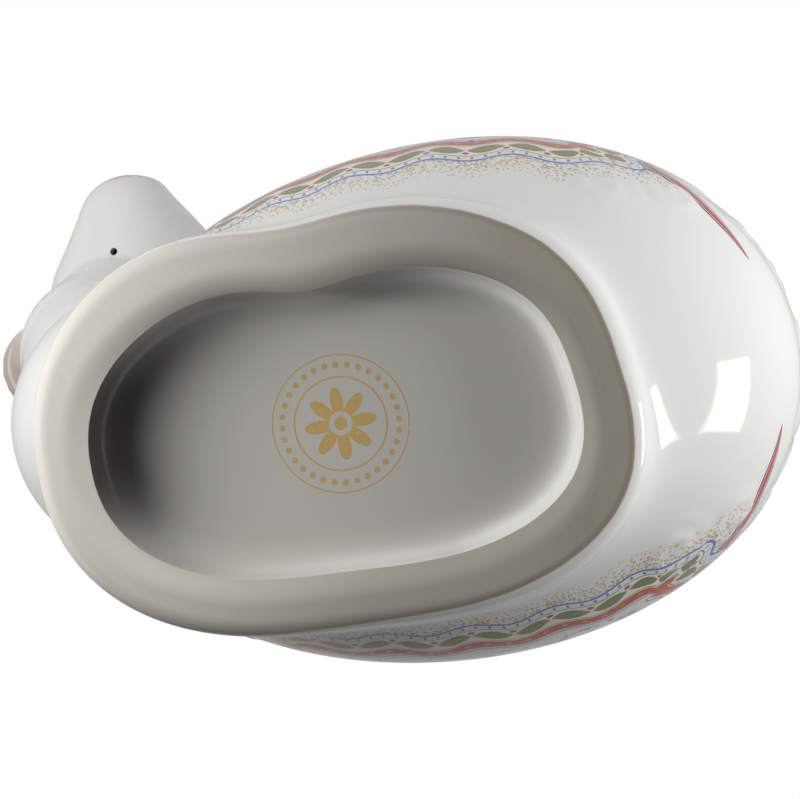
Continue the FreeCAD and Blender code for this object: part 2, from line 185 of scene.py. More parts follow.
class Graph:
    """A node tree under construction."""

    def __init__(self, tree: bpy.types.NodeTree) -> None:
        """Start with an empty tree."""
        self.tree = tree
        self.tree.nodes.clear()

    def node(
        self, kind: str, settings: dict[str, Any] | None = None, inputs: dict[Any, Any] | None = None
    ) -> bpy.types.Node:
        """Add a node.

        Args:
            kind: type of the node.
            settings: properties of the node, set first.
            inputs: values or links of its sockets, by name or number.

        Returns:
            The node.
        """
        made = self.tree.nodes.new(kind)
        for key, value in (settings or {}).items():
            setattr(made, key, value)
        for key, value in (inputs or {}).items():
            self.feed(made.inputs[key], value)
        return made

    def feed(self, socket: bpy.types.NodeSocket, value: Any) -> None:
        """Link a socket, or set its constant.

        Args:
            socket: the input.
            value: a number, a colour or an output.
        """
        if isinstance(value, Number):
            self.tree.links.new(value.socket, socket)
        elif isinstance(value, bpy.types.NodeSocket):
            self.tree.links.new(value, socket)
        elif isinstance(value, (tuple, list)) and socket.type == "RGBA":
            socket.default_value = (*value[:3], 1.0)
        else:
            socket.default_value = value

    def axes(self, vector: bpy.types.NodeSocket) -> list[Number]:
        """Split a vector into its three values."""
        split = self.node("ShaderNodeSeparateXYZ", inputs={0: vector})
        return [Number(self, output) for output in split.outputs]


class Shader(Graph):
    """A node material under construction, with a Principled surface at its end."""

    def __init__(self, name: str, **surface: Any) -> None:
        """Start a material.

        Args:
            name: name of the material.
            surface: constants of the Principled node, with underscores for spaces.
        """
        self.material = bpy.data.materials.new(name)
        self.material.use_nodes = True
        super().__init__(self.material.node_tree)
        constants = {key.replace("_", " "): value for key, value in surface.items()}
        self.surface = self.node("ShaderNodeBsdfPrincipled", inputs=constants)
        self.output = self.node("ShaderNodeOutputMaterial", inputs={"Surface": self.surface.outputs[0]})
        self.vector = self.node("ShaderNodeTexCoord").outputs["Object"]

    def set(self, name: str, value: Any) -> None:
        """Feed one socket of the surface."""
        self.feed(self.surface.inputs[name], value)

    def attribute(self, name: str) -> Number:
        """Read a value that the mesh carries at its points."""
        made = self.node("ShaderNodeAttribute", {"attribute_name": name})
        return Number(self, made.outputs["Fac"])

    def place(self) -> list[Number]:
        """Read the place on the object, in millimetres along its three axes."""
        return [value / MM for value in self.axes(self.vector)]

    def noise(self, scale: float, detail: float = 3.0) -> Number:
        """Add even noise from 0 to 1.

        Args:
            scale: how many waves go to a metre.
            detail: how many finer layers it has.

        Returns:
            The noise.
        """
        made = self.node(
            "ShaderNodeTexNoise", inputs={"Vector": self.vector, "Scale": scale, "Detail": detail})
        return Number(self, made.outputs[0])

    def specks(self, scale: float) -> Number:
        """Add the distance to the nearest of many scattered points."""
        made = self.node("ShaderNodeTexVoronoi", inputs={"Vector": self.vector, "Scale": scale})
        return Number(self, made.outputs["Distance"])

    def mix(self, share: Any, first: Any, second: Any) -> bpy.types.NodeSocket:
        """Blend two colours."""
        made = self.node("ShaderNodeMix", {"data_type": "RGBA"}, {0: share, 6: first, 7: second})
        return made.outputs[2]

    def bump(self, height: Number, depth: float, strength: float = 1.0) -> None:
        """Feed the surface's normal from a height field of a depth in metres.

        Args:
            height: the field, from 0 to 1.
            depth: what a height of 1 stands for.
            strength: share of the effect.
        """
        made = self.node(
            "ShaderNodeBump", inputs={"Height": height, "Distance": depth, "Strength": strength})
        self.set("Normal", made.outputs[0])


# Modelling helpers


def deselect_all() -> None:
    """Go to object mode with nothing selected."""
    if bpy.context.mode != "OBJECT":
        bpy.ops.object.mode_set(mode="OBJECT")
    bpy.ops.object.select_all(action="DESELECT")


def activate(piece: bpy.types.Object) -> None:
    """Select one object and make it the active one.

    Args:
        piece: the object.
    """
    deselect_all()
    piece.select_set(True)
    bpy.context.view_layer.objects.active = piece


def modify(piece: bpy.types.Object, kind: str, **settings: Any) -> None:
    """Add a modifier to a piece and apply it.

    Args:
        piece: the piece.
        kind: type of the modifier.
        settings: its properties.
    """
    activate(piece)
    modifier = piece.modifiers.new(kind.title(), kind)
    for key, value in settings.items():
        setattr(modifier, key, value)
    bpy.ops.object.modifier_apply(modifier=modifier.name)


def melt(piece: bpy.types.Object, voxel: float, passes: int) -> None:
    """Fuse the shells of a piece into one skin of even faces, and soften it."""
    modify(piece, "REMESH", mode="VOXEL", voxel_size=voxel * MM)
    modify(piece, "SMOOTH", factor=0.5, iterations=passes)


def named(name: str) -> bpy.types.Object:
    """Name the primitive that was added last, and its mesh.

    Args:
        name: the name.

    Returns:
        The piece.
    """
    piece = bpy.context.active_object
    piece.name = name
    piece.data.name = name
    return piece


def read_points(piece: bpy.types.Object, what: str = "co") -> Points:
    """Read the places of a piece's points, in metres, or their normals.

    Args:
        piece: the piece.
        what: name of the vector that each point carries.

    Returns:
        One row for each point.
    """
    flat = np.empty(len(piece.data.vertices) * 3)
    piece.data.vertices.foreach_get(what, flat)
    return flat.reshape(-1, 3)


def write_points(piece: bpy.types.Object, points: Points) -> None:
    """Move a piece's points to new places, in metres."""
    piece.data.vertices.foreach_set("co", points.ravel())
    piece.data.update()


def write_field(piece: bpy.types.Object, name: str, values: Points) -> None:
    """Store one value at each point of a piece."""
    layer = piece.data.attributes.new(name, "FLOAT", "POINT")
    layer.data.foreach_set("value", values.astype(np.float32))


def smooth(piece: bpy.types.Object) -> None:
    """Shade a piece smoothly all over."""
    activate(piece)
    bpy.ops.object.shade_smooth()


def seat(
    piece: bpy.types.Object, body: Body, slot: Slot, material: bpy.types.Material, *nodes: str
) -> None:
    """Give a finished piece its finish, its body and the solids that it stands for.

    Args:
        piece: the finished piece.
        body: the body that it rides on.
        slot: its material slot; not used.
        material: its finish.
        nodes: the solids that it stands for.
    """
    piece.data.materials.clear()
    piece.data.materials.append(material)
    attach(piece, body.value)
    if nodes:
        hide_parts(*nodes)
    LOG.info("%s: %d faces", piece.name, len(piece.data.polygons))


def ring_skin(name: str, rings: Points, first_pole: Points, last_pole: Points) -> bpy.types.Object:
    """Shape a sphere into a closed skin through rings of points.

    Args:
        name: name of the piece.
        rings: places in metres, ring by ring, each ring counter-clockwise from above.
        first_pole: the point that closes the first ring.
        last_pole: the point that closes the last ring.

    Returns:
        The piece.
    """
    count, around, _ = rings.shape
    deselect_all()
    bpy.ops.mesh.primitive_uv_sphere_add(segments=around, ring_count=count + 1, radius=1.0)
    piece = named(name)
    start = read_points(piece)
    fall = np.arccos(np.clip(start[:, 2], -1, 1)) / math.pi * (count + 1)
    level = np.rint(fall).astype(int)
    turn = np.arctan2(start[:, 1], start[:, 0]) / (2 * math.pi) * around
    column = np.rint(turn - turn.min()).astype(int) % around
    places = np.empty_like(start)
    inner = (level > 0) & (level <= count)
    places[inner] = rings[level[inner] - 1, column[inner]]
    places[level == 0] = first_pole
    places[level > count] = last_pole
    write_points(piece, places)
    smooth(piece)
    return piece


# Form of the bottle


def unit(vector: Points) -> Points:
    """Scale vectors to length one."""
    return vector / np.maximum(np.linalg.norm(vector, axis=-1, keepdims=True), 1e-12)


def round_angles(count: int) -> Points:
    """Angles of equal steps round a circle."""
    return np.arange(count) * 2 * math.pi / count


def spokes(turn: Points, side: Points, rise: Points) -> Points:
    """Directions at angles round a ring, from two that are square to its axis."""
    return np.cos(turn)[:, None] * side + np.sin(turn)[:, None] * rise


def quarter_round(count: int) -> list[tuple[float, float]]:
    """How far a rounded edge is drawn in and has climbed, as shares of its radius, from its flat face up."""
    turns = np.linspace(0, math.pi / 2, count)
    return [(1 - math.sin(turn), 1 - math.cos(turn)) for turn in turns]


def share_at(height: Points | float, rise: float) -> Points | float:
    """Width of an egg at a height from its widest level, as a share of the widest."""
    return np.sqrt(np.maximum(1 - (np.asarray(height) / rise) ** 2, 0.0))


@dataclass(frozen=True)
class Waist:
    """A dent in the left side of an oval, in millimetres."""

    depth: float
    ahead: float
    span: float


@dataclass(frozen=True)
class HullForm:
    """Outside and inside of the bottle, in millimetres about the centre of the foot."""

    length: float = 148.0
    width: float = 106.6
    belly_height: float = 50.0
    belly_drop: float = 52.0
    crown_rise: float = 52.0
    back: float = 16.7
    right: float = 1.3
    fullness: float = 0.018
    skew: float = 0.004
    wall: float = 5.5
    chest_radius: float = 28.0
    chest_rise: float = 38.0
    chest_below_belly: float = 2.0
    chest_front: float = 73.2
    chest_left: float = 6.0
    foot_length: float = 118.5
    foot_width: float = 84.6
    foot_ahead: float = 0.6
    foot_wall: float = 8.0
    foot_fade: float = 55.0
    foot_squareness: float = 0.19
    foot_skew: float = 0.028
    foot_bend: float = 0.02
    foot_waist: Waist = Waist(4.8, 5.1, 20.9)
    foot_edge: float = 3.6
    ring_ends: float = 10.2
    ring_sides: float = 11.7
    recess_ahead: float = 1.1
    recess_right: float = 1.0
    recess_depth: float = 11.0
    recess_waist: Waist = Waist(4.3, 0.5, 15.2)
    recess_draft: float = 3.0
    recess_corner: float = 5.0
    recess_edge: float = 4.0
    recess_floor: float = 5.0
    bore_diameter: float = 19.5
    neck_wall: float = 5.0
    neck_rise: float = 9.0
    neck_fillet: float = 4.0
    rim_round: float = 1.2
    blend_power: float = 12.0
    oval_power: float = 2.48
    around: int = 384

    @property
    def angles(self) -> Points:
        """Angles of the points of every outline."""
        return round_angles(self.around)

    @property
    def rim_height(self) -> float:
        """Height of the rim of the neck."""
        return self.belly_height + self.crown_rise + self.neck_rise

    def ellipse(self, centre: tuple[float, float], half_length: float, half_width: float) -> Points:
        """How far an ellipse reaches from the pole of the outline.

        Args:
            centre: its middle, from the pole.
            half_length: half its size along the hull.
            half_width: half its size across.

        Returns:
            The reach at each angle.
        """
        if min(half_length, half_width) <= 0:
            return np.zeros(self.around)
        along = np.cos(self.angles)
        across = np.sin(self.angles)
        a = (along / half_length) ** 2 + (across / half_width) ** 2
        b = along * centre[0] / half_length ** 2 + across * centre[1] / half_width ** 2
        c = (centre[0] / half_length) ** 2 + (centre[1] / half_width) ** 2 - 1
        root = b * b - a * c
        reach = (b + np.sqrt(np.maximum(root, 0))) / a
        return np.where(root < 0, 0.0, np.maximum(reach, 0.0))

    def oval(self, half_length: float, half_width: float, waist: Waist) -> Points:
        """How far a squarish, slightly bent oval reaches from its centre, with a waist on the left.

        Args:
            half_length: half its size along the hull.
            half_width: half its size across.
            waist: the dent.

        Returns:
            The reach at each angle.
        """
        along = np.cos(self.angles)
        across = np.sin(self.angles)
        power = self.oval_power + self.foot_squareness * along
        reach = (np.abs(along / half_length) ** power + np.abs(across / half_width) ** power) ** (-1 / power)
        reach *= 1 + self.foot_skew * np.sin(2 * self.angles) + self.foot_bend * np.sin(3 * self.angles)
        offset = (reach * along + waist.ahead) / waist.span
        return reach - np.where(across < 0, waist.depth * np.exp(-offset ** 2), 0.0)

    @property
    def full(self) -> Points:
        """How much fuller than an ellipse the egg is between its axes.

        Returns:
            The factor at each angle.
        """
        slant = np.arctan2(np.sin(self.angles) / self.width, np.cos(self.angles) / self.length)
        quarter = np.sin(2 * slant)
        return 1 + self.fullness * quarter ** 2 + self.skew * quarter

    def level(self, height: float, inset: float = 0.0) -> Points:
        """Points round the hull at a height: egg, chest and foot melted into one.

        Args:
            height: height above the table.
            inset: how far the outline is drawn in.

        Returns:
            Places, counter-clockwise from the rump.
        """
        above = height - self.belly_height
        egg = share_at(above, (self.crown_rise if above > 0 else self.belly_drop) - inset)
        chest = share_at(above + self.chest_below_belly, self.chest_rise - inset)
        shift = min(max(above / (self.crown_rise / 2), 0.0), 1.0)
        pole = (self.back * shift - self.foot_ahead * (1 - shift), self.right * shift)
        reaches = [
            self.full * self.ellipse(
                (self.back - pole[0], self.right - pole[1]),
                egg * (self.length / 2 - inset),
                egg * (self.width / 2 - inset),
            ),
            self.ellipse(
                (self.chest_radius - self.chest_front - pole[0], -self.chest_left - pole[1]),
                chest * (self.chest_radius - inset),
                chest * (self.chest_radius - inset),
            ),
        ]
        if above < 0:
            foot = share_at(max(height - self.foot_wall, 0.0), self.foot_fade)
            reaches.append(foot * self.oval(
                self.foot_length / 2 - inset, self.foot_width / 2 - inset, self.foot_waist))
        reach = sum(value ** self.blend_power for value in reaches) ** (1 / self.blend_power)
        return self.spread(pole, reach, height)

    def spread(self, pole: tuple[float, float], reach: Points, height: Points | float) -> Points:
        """Places round a pole at their reaches and heights.

        Args:
            pole: the middle.
            reach: distance at each angle.
            height: one height, or many.

        Returns:
            Places, counter-clockwise from the rump.
        """
        return np.stack([
            pole[0] + reach * np.cos(self.angles),
            pole[1] + reach * np.sin(self.angles),
            np.broadcast_to(height, reach.shape),
        ], axis=-1)

    def recess(self, height: float, inset: float) -> Points:
        """Points round the recess inside the foot ring.

        Args:
            height: height above the table.
            inset: how far the outline is drawn in.

        Returns:
            Places, counter-clockwise from the rump.
        """
        reach = self.oval(
            self.foot_length / 2 - self.ring_ends - inset,
            self.foot_width / 2 - self.ring_sides - inset,
            self.recess_waist,
        )
        return self.spread((-self.recess_ahead, self.recess_right), reach, height)

    def crown(self, radius: Points, inset: float = 0.0) -> Points:
        """Points of the crown at their distances from the axis of the neck.

        Args:
            radius: distance at each angle.
            inset: how far the crown is drawn in.

        Returns:
            Places, counter-clockwise from the rump.
        """
        reach = self.full * self.ellipse((0.0, 0.0), self.length / 2 - inset, self.width / 2 - inset)
        height = self.belly_height + (self.crown_rise - inset) * share_at(radius / reach, 1.0)
        return self.spread((self.back, self.right), radius, height)

    def neck(self, radius: float, height: Points | float) -> Points:
        """A circle round the axis of the neck."""
        return self.spread((self.back, self.right), np.full(self.around, radius), height)


def grow(outline: Points, distance: float) -> Points:
    """Move a level outline outwards by a distance, or inwards by a negative one.

    Args:
        outline: places, counter-clockwise.
        distance: how far each place moves.

    Returns:
        The moved outline.
    """
    ahead = np.roll(outline, -1, axis=0) - np.roll(outline, 1, axis=0)
    normal = unit(np.stack([ahead[:, 1], -ahead[:, 0], np.zeros(len(ahead))], axis=-1))
    return outline + normal * distance


@dataclass(frozen=True)
class WoolCurl:
    """One low spiral of wool in relief, in millimetres."""

    centre: tuple[float, float, float]
    radius: float
    relief: float
    hand: float = 1.0
    turn: float = 0.0
    pitch: float = 5.4
    ridge_power: float = 1.4
    fade_power: float = 0.8
    dome: float = 0.5

    def height(self, places: Points, normals: Points) -> Points:
        """How far the curl lifts a surface at each place.

        Args:
            places: points of the surface.
            normals: its outward directions there.

        Returns:
            The lift at each point.
        """
        centre = np.array(self.centre)
        gap = places - centre
        near = np.linalg.norm(gap, axis=-1)
        facing = normals[np.argmin(near)]
        side = unit(np.cross((0.0, 0.0, 1.0), facing))
        rise = np.cross(facing, side)
        across = gap @ side * self.hand
        upward = gap @ rise
        angle = np.arctan2(upward, across) + self.turn
        wave = 0.5 + 0.5 * np.cos(2 * math.pi * near / self.pitch - angle)
        fade = np.clip(1 - (near / self.radius) ** 2, 0, 1)
        ridge = wave ** self.ridge_power * fade ** self.fade_power
        return np.where(normals @ facing > 0, self.relief * (ridge + self.dome * fade), 0.0)


def scatter(places: Points, allowed: Points, spacing: float) -> list[int]:
    """Choose points that lie at least a spacing apart.

    Args:
        places: the points.
        allowed: which of them may be chosen.
        spacing: least distance between two.

    Returns:
        Numbers of the chosen points.
    """
    free = allowed.copy()
    chosen = []
    while free.any():
        index = int(np.argmax(free))
        chosen.append(index)
        free &= np.linalg.norm(places - places[index], axis=-1) >= spacing
    return chosen


def curls_over(
    places: Points, allowed: Points, spacing: float, radius: float, relief: float, pitch: float
) -> list[WoolCurl]:
    """Lay curls that wind left and right by turns over some of a surface's points.

    Args:
        places: points of the surface.
        allowed: which of them may carry a curl.
        spacing: least distance between two curls.
        radius: size of a curl.
        relief: how far a curl stands out.
        pitch: distance between the windings.

    Returns:
        The curls.
    """
    golden_turn = 2.4
    return [
        WoolCurl(
            tuple(places[index]), radius, relief, 1.0 if number % 2 else -1.0, golden_turn * number, pitch)
        for number, index in enumerate(scatter(places, allowed, spacing))
    ]


@dataclass(frozen=True)
class PaintedCloth:
    """The painted saddle cloth on the back, in millimetres along the hull."""

    middle: float = 16.0
    half_length: float = 51.0
    half_drop: float = 108.0
    longer_right: float = 7.0
    corner: float = 15.0
    collar: float = 20.5
    collar_length: float = 192.0
    collar_squeeze: float = 1.6
    scallop: float = 1.6
    scallop_length: float = 16.95
    girth_radius: float = 52.6
    slimmest: float = 0.98
    end_bend: float = 1.5

    def fields(self, form: HullForm, places: Points) -> dict[str, Points]:
        """Distance in from the hem, and the way along it, at each place.

        Args:
            form: the hull that carries the cloth.
            places: points of the hull.

        Returns:
            Fields by name.
        """
        run = places[:, 0] - self.middle
        far = (places[:, 0] - form.back) / (form.length / 2)
        slim = share_at(np.clip(far, -self.slimmest, self.slimmest), 1.0)
        rise = (places[:, 2] - form.belly_height) / (form.crown_rise * slim)
        drop = self.girth_radius * np.arccos(np.clip(rise, -1, 1))
        over_end = np.abs(run) - (self.half_length - self.corner)
        side = np.where(places[:, 1] < form.right, -1.0, 1.0)
        over_hem = drop - (self.half_drop + self.longer_right * (side > 0) - self.corner)
        outside = np.hypot(np.maximum(over_end, 0), np.maximum(over_hem, 0))
        inside = np.minimum(np.maximum(over_end, over_hem), 0)
        depth = self.corner - outside - inside
        aside = places[:, :2] - np.array([form.back, form.right])
        collar = self.collar_squeeze * (np.linalg.norm(aside, axis=-1) - self.collar)
        bend = np.arctan2(np.maximum(over_end, 0), np.maximum(over_hem, 1e-6))
        nearer_end = np.where(over_end > over_hem, math.pi / 2, 0)
        bend = np.where((over_end < 0) & (over_hem < 0), nearer_end, bend)
        along = np.minimum(np.abs(run), self.half_length - self.corner)
        even = 1 / (1 + self.longer_right * (side > 0) / (self.half_drop - self.corner))
        up_end = np.where(bend > self.end_bend, np.maximum(-over_hem, 0) * even, 0)
        along = along + self.corner * bend + up_end
        depth += self.scallop * np.cos(2 * math.pi * along / self.scallop_length)
        round_neck = collar < depth
        turn = np.arctan2(aside[:, 1], aside[:, 0]) / (2 * math.pi)
        return {
            "hem": np.where(round_neck, collar, depth),
            "along": np.where(round_neck, turn * self.collar_length, along),
            "run": run,
            "drop": drop * side,
        }


@dataclass
class Bottle:
    """The cast bottle with its foot ring, recess, neck and decoration."""

    form: HullForm = field(default_factory=HullForm)
    cloth: PaintedCloth = field(default_factory=PaintedCloth)
    floor_rings: int = 18
    round_rings: int = 9
    wall_rings: int = 7
    ring_rings: int = 10
    flank_rings: int = 52
    crown_rings: int = 54
    shoulder_rings: int = 16
    inside_rings: int = 16
    inside_floor: tuple[float, ...] = (0.3, 0.6, 0.85)
    inside_crown: int = 6
    lip_rings: int = 5
    bore_shown: float = 6.0
    fleece_gap: float = -11.0
    fleece_height: float = 49.0
    fleece_clear: float = 40.0
    fleece_spacing: float = 10.0
    fleece_radius: float = 7.4
    fleece_relief: float = 0.45
    fleece_pitch: float = 4.4
    fleece_sunk: float = 0.7
    fleece_fade: float = 4.0
    fleece_start: float = 9.0
    fleece_climb: float = 7.0
    curl_spots: tuple[tuple[float, float, float], ...] = (
        (58.5, 24.3, 9.0), (71.8, 33.1, 8.0), (-36.0, 46.0, 8.0))
    curl_relief: float = 0.5
    curl_turn: float = 1.3
    start_latitude: float = math.radians(60.0)
    bare_inside: float = 5.7
    bare_front: float = 4.2
    bare_back: float = 1.35
    bare_fade: float = 80.0
    shelter_step: float = 0.2
    roof_margin: float = 0.5
    key_side: tuple[float, float] = (-0.95, -0.31)

    def recess_rings(self) -> list[Points]:
        """Rings from the foot ring's flat face up into the recess and in over its roof.

        Returns:
            The rings in order, each counter-clockwise from the rump.
        """
        form = self.form
        slope = form.recess_draft / form.recess_depth
        rings = []
        for drawn, climbed in quarter_round(self.round_rings):
            height = form.recess_edge * climbed
            rings.append(grow(form.recess(height, slope * height), form.recess_edge * drawn))
        top = form.recess_depth - form.recess_corner
        for height in np.linspace(form.recess_edge, top, self.wall_rings)[1:]:
            rings.append(form.recess(height, slope * height))
        for below, inset in quarter_round(self.round_rings)[1:]:
            height = form.recess_depth - form.recess_corner * below
            rings.append(form.recess(height, slope * height + form.recess_corner * inset))
        edge = rings[-1]
        centre = np.array([-form.recess_ahead, form.recess_right, form.recess_depth])
        for share in np.linspace(1, 0, self.floor_rings + 1)[1:-1]:
            rings.append(centre + (edge - centre) * share)
        return rings

    def foot_rings(self) -> list[Points]:
        """Rings from the wall of the foot down round its edge and in across its flat face.

        Returns:
            The rings in order, each counter-clockwise from the rump.
        """
        form = self.form
        rings = [
            grow(form.level(form.foot_edge * climbed), -form.foot_edge * drawn)
            for drawn, climbed in reversed(quarter_round(self.round_rings))
        ]
        outer = rings[-1]
        inner = grow(form.recess(0.0, 0.0), form.recess_edge)
        for share in np.linspace(0, 1, self.ring_rings)[1:-1]:
            rings.append(outer + (inner - outer) * share)
        return rings

    def flank(self) -> list[Points]:
        """Rings of the outside from the shoulder of the neck down to the wall of the foot.

        Returns:
            The rings in order, each counter-clockwise from the rump.
        """
        form = self.form
        shoulder = form.bore_diameter / 2 + form.neck_wall + form.neck_fillet
        start = form.level(form.belly_height + form.crown_rise * math.sin(self.start_latitude))
        reach = np.hypot(start[:, 0] - form.back, start[:, 1] - form.right)
        rings = []
        for share in np.linspace(0, 1, self.shoulder_rings)[:-1]:
            rings.append(form.crown(shoulder + (reach - shoulder) * share))
        for latitude in np.linspace(self.start_latitude, 0, self.crown_rings):
            rings.append(form.level(form.belly_height + form.crown_rise * math.sin(latitude)))
        for height in np.linspace(form.belly_height, form.foot_edge, self.flank_rings)[1:-1]:
            rings.append(form.level(height))
        return rings

    def neck_rings(self) -> list[Points]:
        """Rings from the inside of the bore over the rim and down to the neck's shoulder.

        Returns:
            The rings in order, each counter-clockwise from the rump.
        """
        form = self.form
        bore = form.bore_diameter / 2
        outer = bore + form.neck_wall
        soft = form.rim_round
        rim = form.rim_height
        rings = [form.neck(bore, rim - self.bore_shown / part) for part in (1, 2)]
        lip = quarter_round(self.lip_rings)
        rings += [form.neck(bore + soft * inset, rim - soft * below) for below, inset in lip]
        rings += [form.neck(outer - soft * inset, rim - soft * below) for below, inset in reversed(lip)]
        fillet = form.neck_fillet
        root = form.crown(np.full(form.around, outer + fillet))[:, 2]
        for drawn, climbed in reversed(quarter_round(self.round_rings)[1:]):
            rings.append(form.neck(outer + fillet * drawn, root + fillet * climbed))
        return rings

    def inner_rings(self) -> list[Points]:
        """Rings of the chamber from the middle of its floor up to the bore.

        Returns:
            The rings in order, each counter-clockwise from the rump.
        """
        form = self.form
        floor = form.recess_depth + form.recess_floor
        bottom = form.level(floor, form.wall)
        centre = np.array([0.0, 0.0, floor])
        rings = [centre + (bottom - centre) * share for share in self.inside_floor]
        for height in np.linspace(floor, form.belly_height, self.inside_rings):
            rings.append(form.level(height, form.wall))
        for latitude in np.linspace(0, self.start_latitude, self.inside_rings)[1:]:
            rings.append(form.level(
                form.belly_height + (form.crown_rise - form.wall) * math.sin(latitude), form.wall))
        reach = np.hypot(rings[-1][:, 0] - form.back, rings[-1][:, 1] - form.right)
        bore = form.bore_diameter / 2
        for share in np.linspace(1, 0, self.inside_crown)[1:]:
            rings.append(form.crown(bore + (reach - bore) * share, form.wall))
        return rings

    def curls(self) -> list[WoolCurl]:
        """Wool curls on the haunches and the shoulders, outside the cloth.

        Returns:
            The curls.
        """
        curls = []
        for number, (x, z, radius) in enumerate(self.curl_spots):
            outline = self.form.level(z)
            for side in (-1.0, 1.0):
                flank = outline[np.sign(outline[:, 1] - self.form.right) == side]
                nearest = flank[np.argmin(np.abs(flank[:, 0] - x))]
                turn = self.curl_turn * number
                curls.append(WoolCurl(tuple(nearest), radius, self.curl_relief, side, turn))
        return curls

    def fleece(self, places: Points) -> list[WoolCurl]:
        """Wool curls all over the rump and the shoulders above the belly.

        Args:
            places: points of the outside.

        Returns:
            The curls.
        """
        hem = self.cloth.fields(self.form, places)["hem"]
        woolly = (hem < self.fleece_gap) & (places[:, 2] > self.fleece_height)
        aside = np.hypot(places[:, 0] - self.form.back, places[:, 1] - self.form.right)
        woolly &= aside > self.fleece_clear
        return curls_over(
            places, woolly, self.fleece_spacing, self.fleece_radius, self.fleece_relief, self.fleece_pitch)

    def sunk(self, places: Points) -> Points:
        """How far the ground of the fleece lies below the smooth hull.

        Args:
            places: points of the outside.

        Returns:
            The depth at each point.
        """
        hem = self.cloth.fields(self.form, places)["hem"]
        low = self.fleece_height - self.fleece_start
        above = np.clip((places[:, 2] - low) / self.fleece_climb, 0, 1)
        beyond_hem = (self.fleece_gap + self.fleece_fade - hem) / self.fleece_fade
        return self.fleece_sunk * above * np.clip(beyond_hem, 0, 1)

    def build(self) -> bpy.types.Object:
        """Model the bottle and store the fields that its decoration follows.

        Returns:
            The piece.
        """
        form = self.form
        upper = self.inner_rings() + self.neck_rings()
        flank = self.flank()
        rings = np.array(upper + flank + self.foot_rings() + self.recess_rings())
        first = len(upper)
        last = first + len(flank)
        outside = rings[first:last]
        down = np.gradient(outside, axis=0)
        around = np.roll(outside, -1, axis=1) - np.roll(outside, 1, axis=1)
        normals = unit(np.cross(down, around)).reshape(-1, 3)
        places = outside.reshape(-1, 3)
        relief = np.zeros(len(places))
        for curl in self.curls() + self.fleece(places):
            relief = np.maximum(relief, curl.height(places, normals))
        relief -= self.sunk(places)
        rings[first:last] = (places + normals * relief[:, None]).reshape(outside.shape)
        floor = form.recess_depth + form.recess_floor
        piece = ring_skin(
            "bottle_body",
            rings * MM,
            np.array([0.0, 0.0, floor]) * MM,
            np.array([-form.recess_ahead, form.recess_right, form.recess_depth]) * MM,
        )
        places = read_points(piece) / MM
        for name, values in self.cloth.fields(form, places).items():
            write_field(piece, name, values)
        self.store_foot(piece, places)
        return piece

    def store_foot(self, piece: bpy.types.Object, places: Points) -> None:
        """Store where the foot is unglazed, where its recess is, and how deep each spot of the recess lies
        in the key light's shadow, for the painted shade.

        Args:
            piece: the bottle.
            places: its points.
        """
        form = self.form
        mouth = form.recess(0.0, 0.0)[:, :2]
        middle = np.array([-form.recess_ahead, form.recess_right])

        def beyond(spots: Points) -> Points:
            """How far spots on the plane lie outside the mouth of the recess.

            Args:
                spots: places on the plane.

            Returns:
                Distances, negative inside.
            """
            gap = spots - middle
            turn = np.arctan2(gap[:, 1], gap[:, 0]) % (2 * math.pi)
            reach = np.interp(turn, form.angles, np.linalg.norm(mouth - middle, axis=-1), period=2 * math.pi)
            return np.linalg.norm(gap, axis=-1) - reach

        def arc(edge: float) -> Points:
            """Way from the flat face up round an edge of a radius."""
            turn = np.arccos(np.clip(1 - places[:, 2] / edge, -1, 1))
            return np.where(places[:, 2] < edge, edge * turn, edge * math.pi / 2 + places[:, 2] - edge)

        inside = beyond(places[:, :2]) < form.recess_edge
        back = np.clip(places[:, 0] / self.bare_fade + 0.5, 0, 1)
        outer = self.bare_front + (self.bare_back - self.bare_front) * back
        bare = np.where(inside, self.bare_inside - arc(form.recess_edge), outer - arc(form.foot_edge))
        recess = inside & (places[:, 2] < form.recess_depth + self.roof_margin)
        # How steeply the recess's edge rises towards the key light from each spot; the glaze paints shade
        # where it rises steeply.
        run = np.full(len(places), self.shelter_step)
        sheltered = places[recess, :2]
        for step in np.arange(self.shelter_step, form.foot_length, self.shelter_step):
            still = beyond(sheltered + np.array(self.key_side) * step) < 0
            run[np.flatnonzero(recess)[still]] = step
        write_field(piece, "bare", bare)
        write_field(piece, "recess", recess.astype(float))
        write_field(piece, "lee", np.where(recess, np.degrees(np.arctan2(places[:, 2], run)), 0.0))

    def dress(self) -> None:
        """Model the bottle and give it its glaze."""
        piece = self.build()
        seat(piece, Body.BOTTLE, Slot.PORCELAIN, PaintedGlaze(self.form).material(), "body_shell")


# Head, horns, ears and tail


def capsule(
    name: str, start: Points, start_radius: float, end: Points, end_radius: float,
    around: int = 96, steps: int = 30,
) -> bpy.types.Object:
    """Shape a sphere into two round ends joined by a cone, in millimetres.

    Args:
        name: name of the piece.
        start: centre of the first end.
        start_radius: radius of the first end.
        end: centre of the second end.
        end_radius: radius of the second end.
        around: points in each ring.
        steps: rings on each end and on the cone.

    Returns:
        The piece.
    """
    length = float(np.linalg.norm(end - start))
    axis = (end - start) / length
    side = unit(np.cross(axis, (0.3, 0.2, 1.0)))
    rise = np.cross(side, axis)
    outward = spokes(round_angles(around), side, rise)
    seam = math.pi - math.acos((start_radius - end_radius) / length)

    def ring(centre: Points, radius: float, fall: float) -> Points:
        """One ring of a round end."""
        return centre - axis * radius * math.cos(fall) + outward * radius * math.sin(fall)

    first = [ring(start, start_radius, fall) for fall in np.linspace(0, seam, steps)[1:]]
    last = [ring(end, end_radius, fall) for fall in np.linspace(seam, math.pi, steps)[:-1]]
    shares = np.linspace(0, 1, steps)[1:-1]
    cone = [first[-1] + (last[0] - first[-1]) * share for share in shares]
    return ring_skin(
        name,
        np.array(first + cone + last) * MM,
        (start - axis * start_radius) * MM,
        (end + axis * end_radius) * MM,
    )


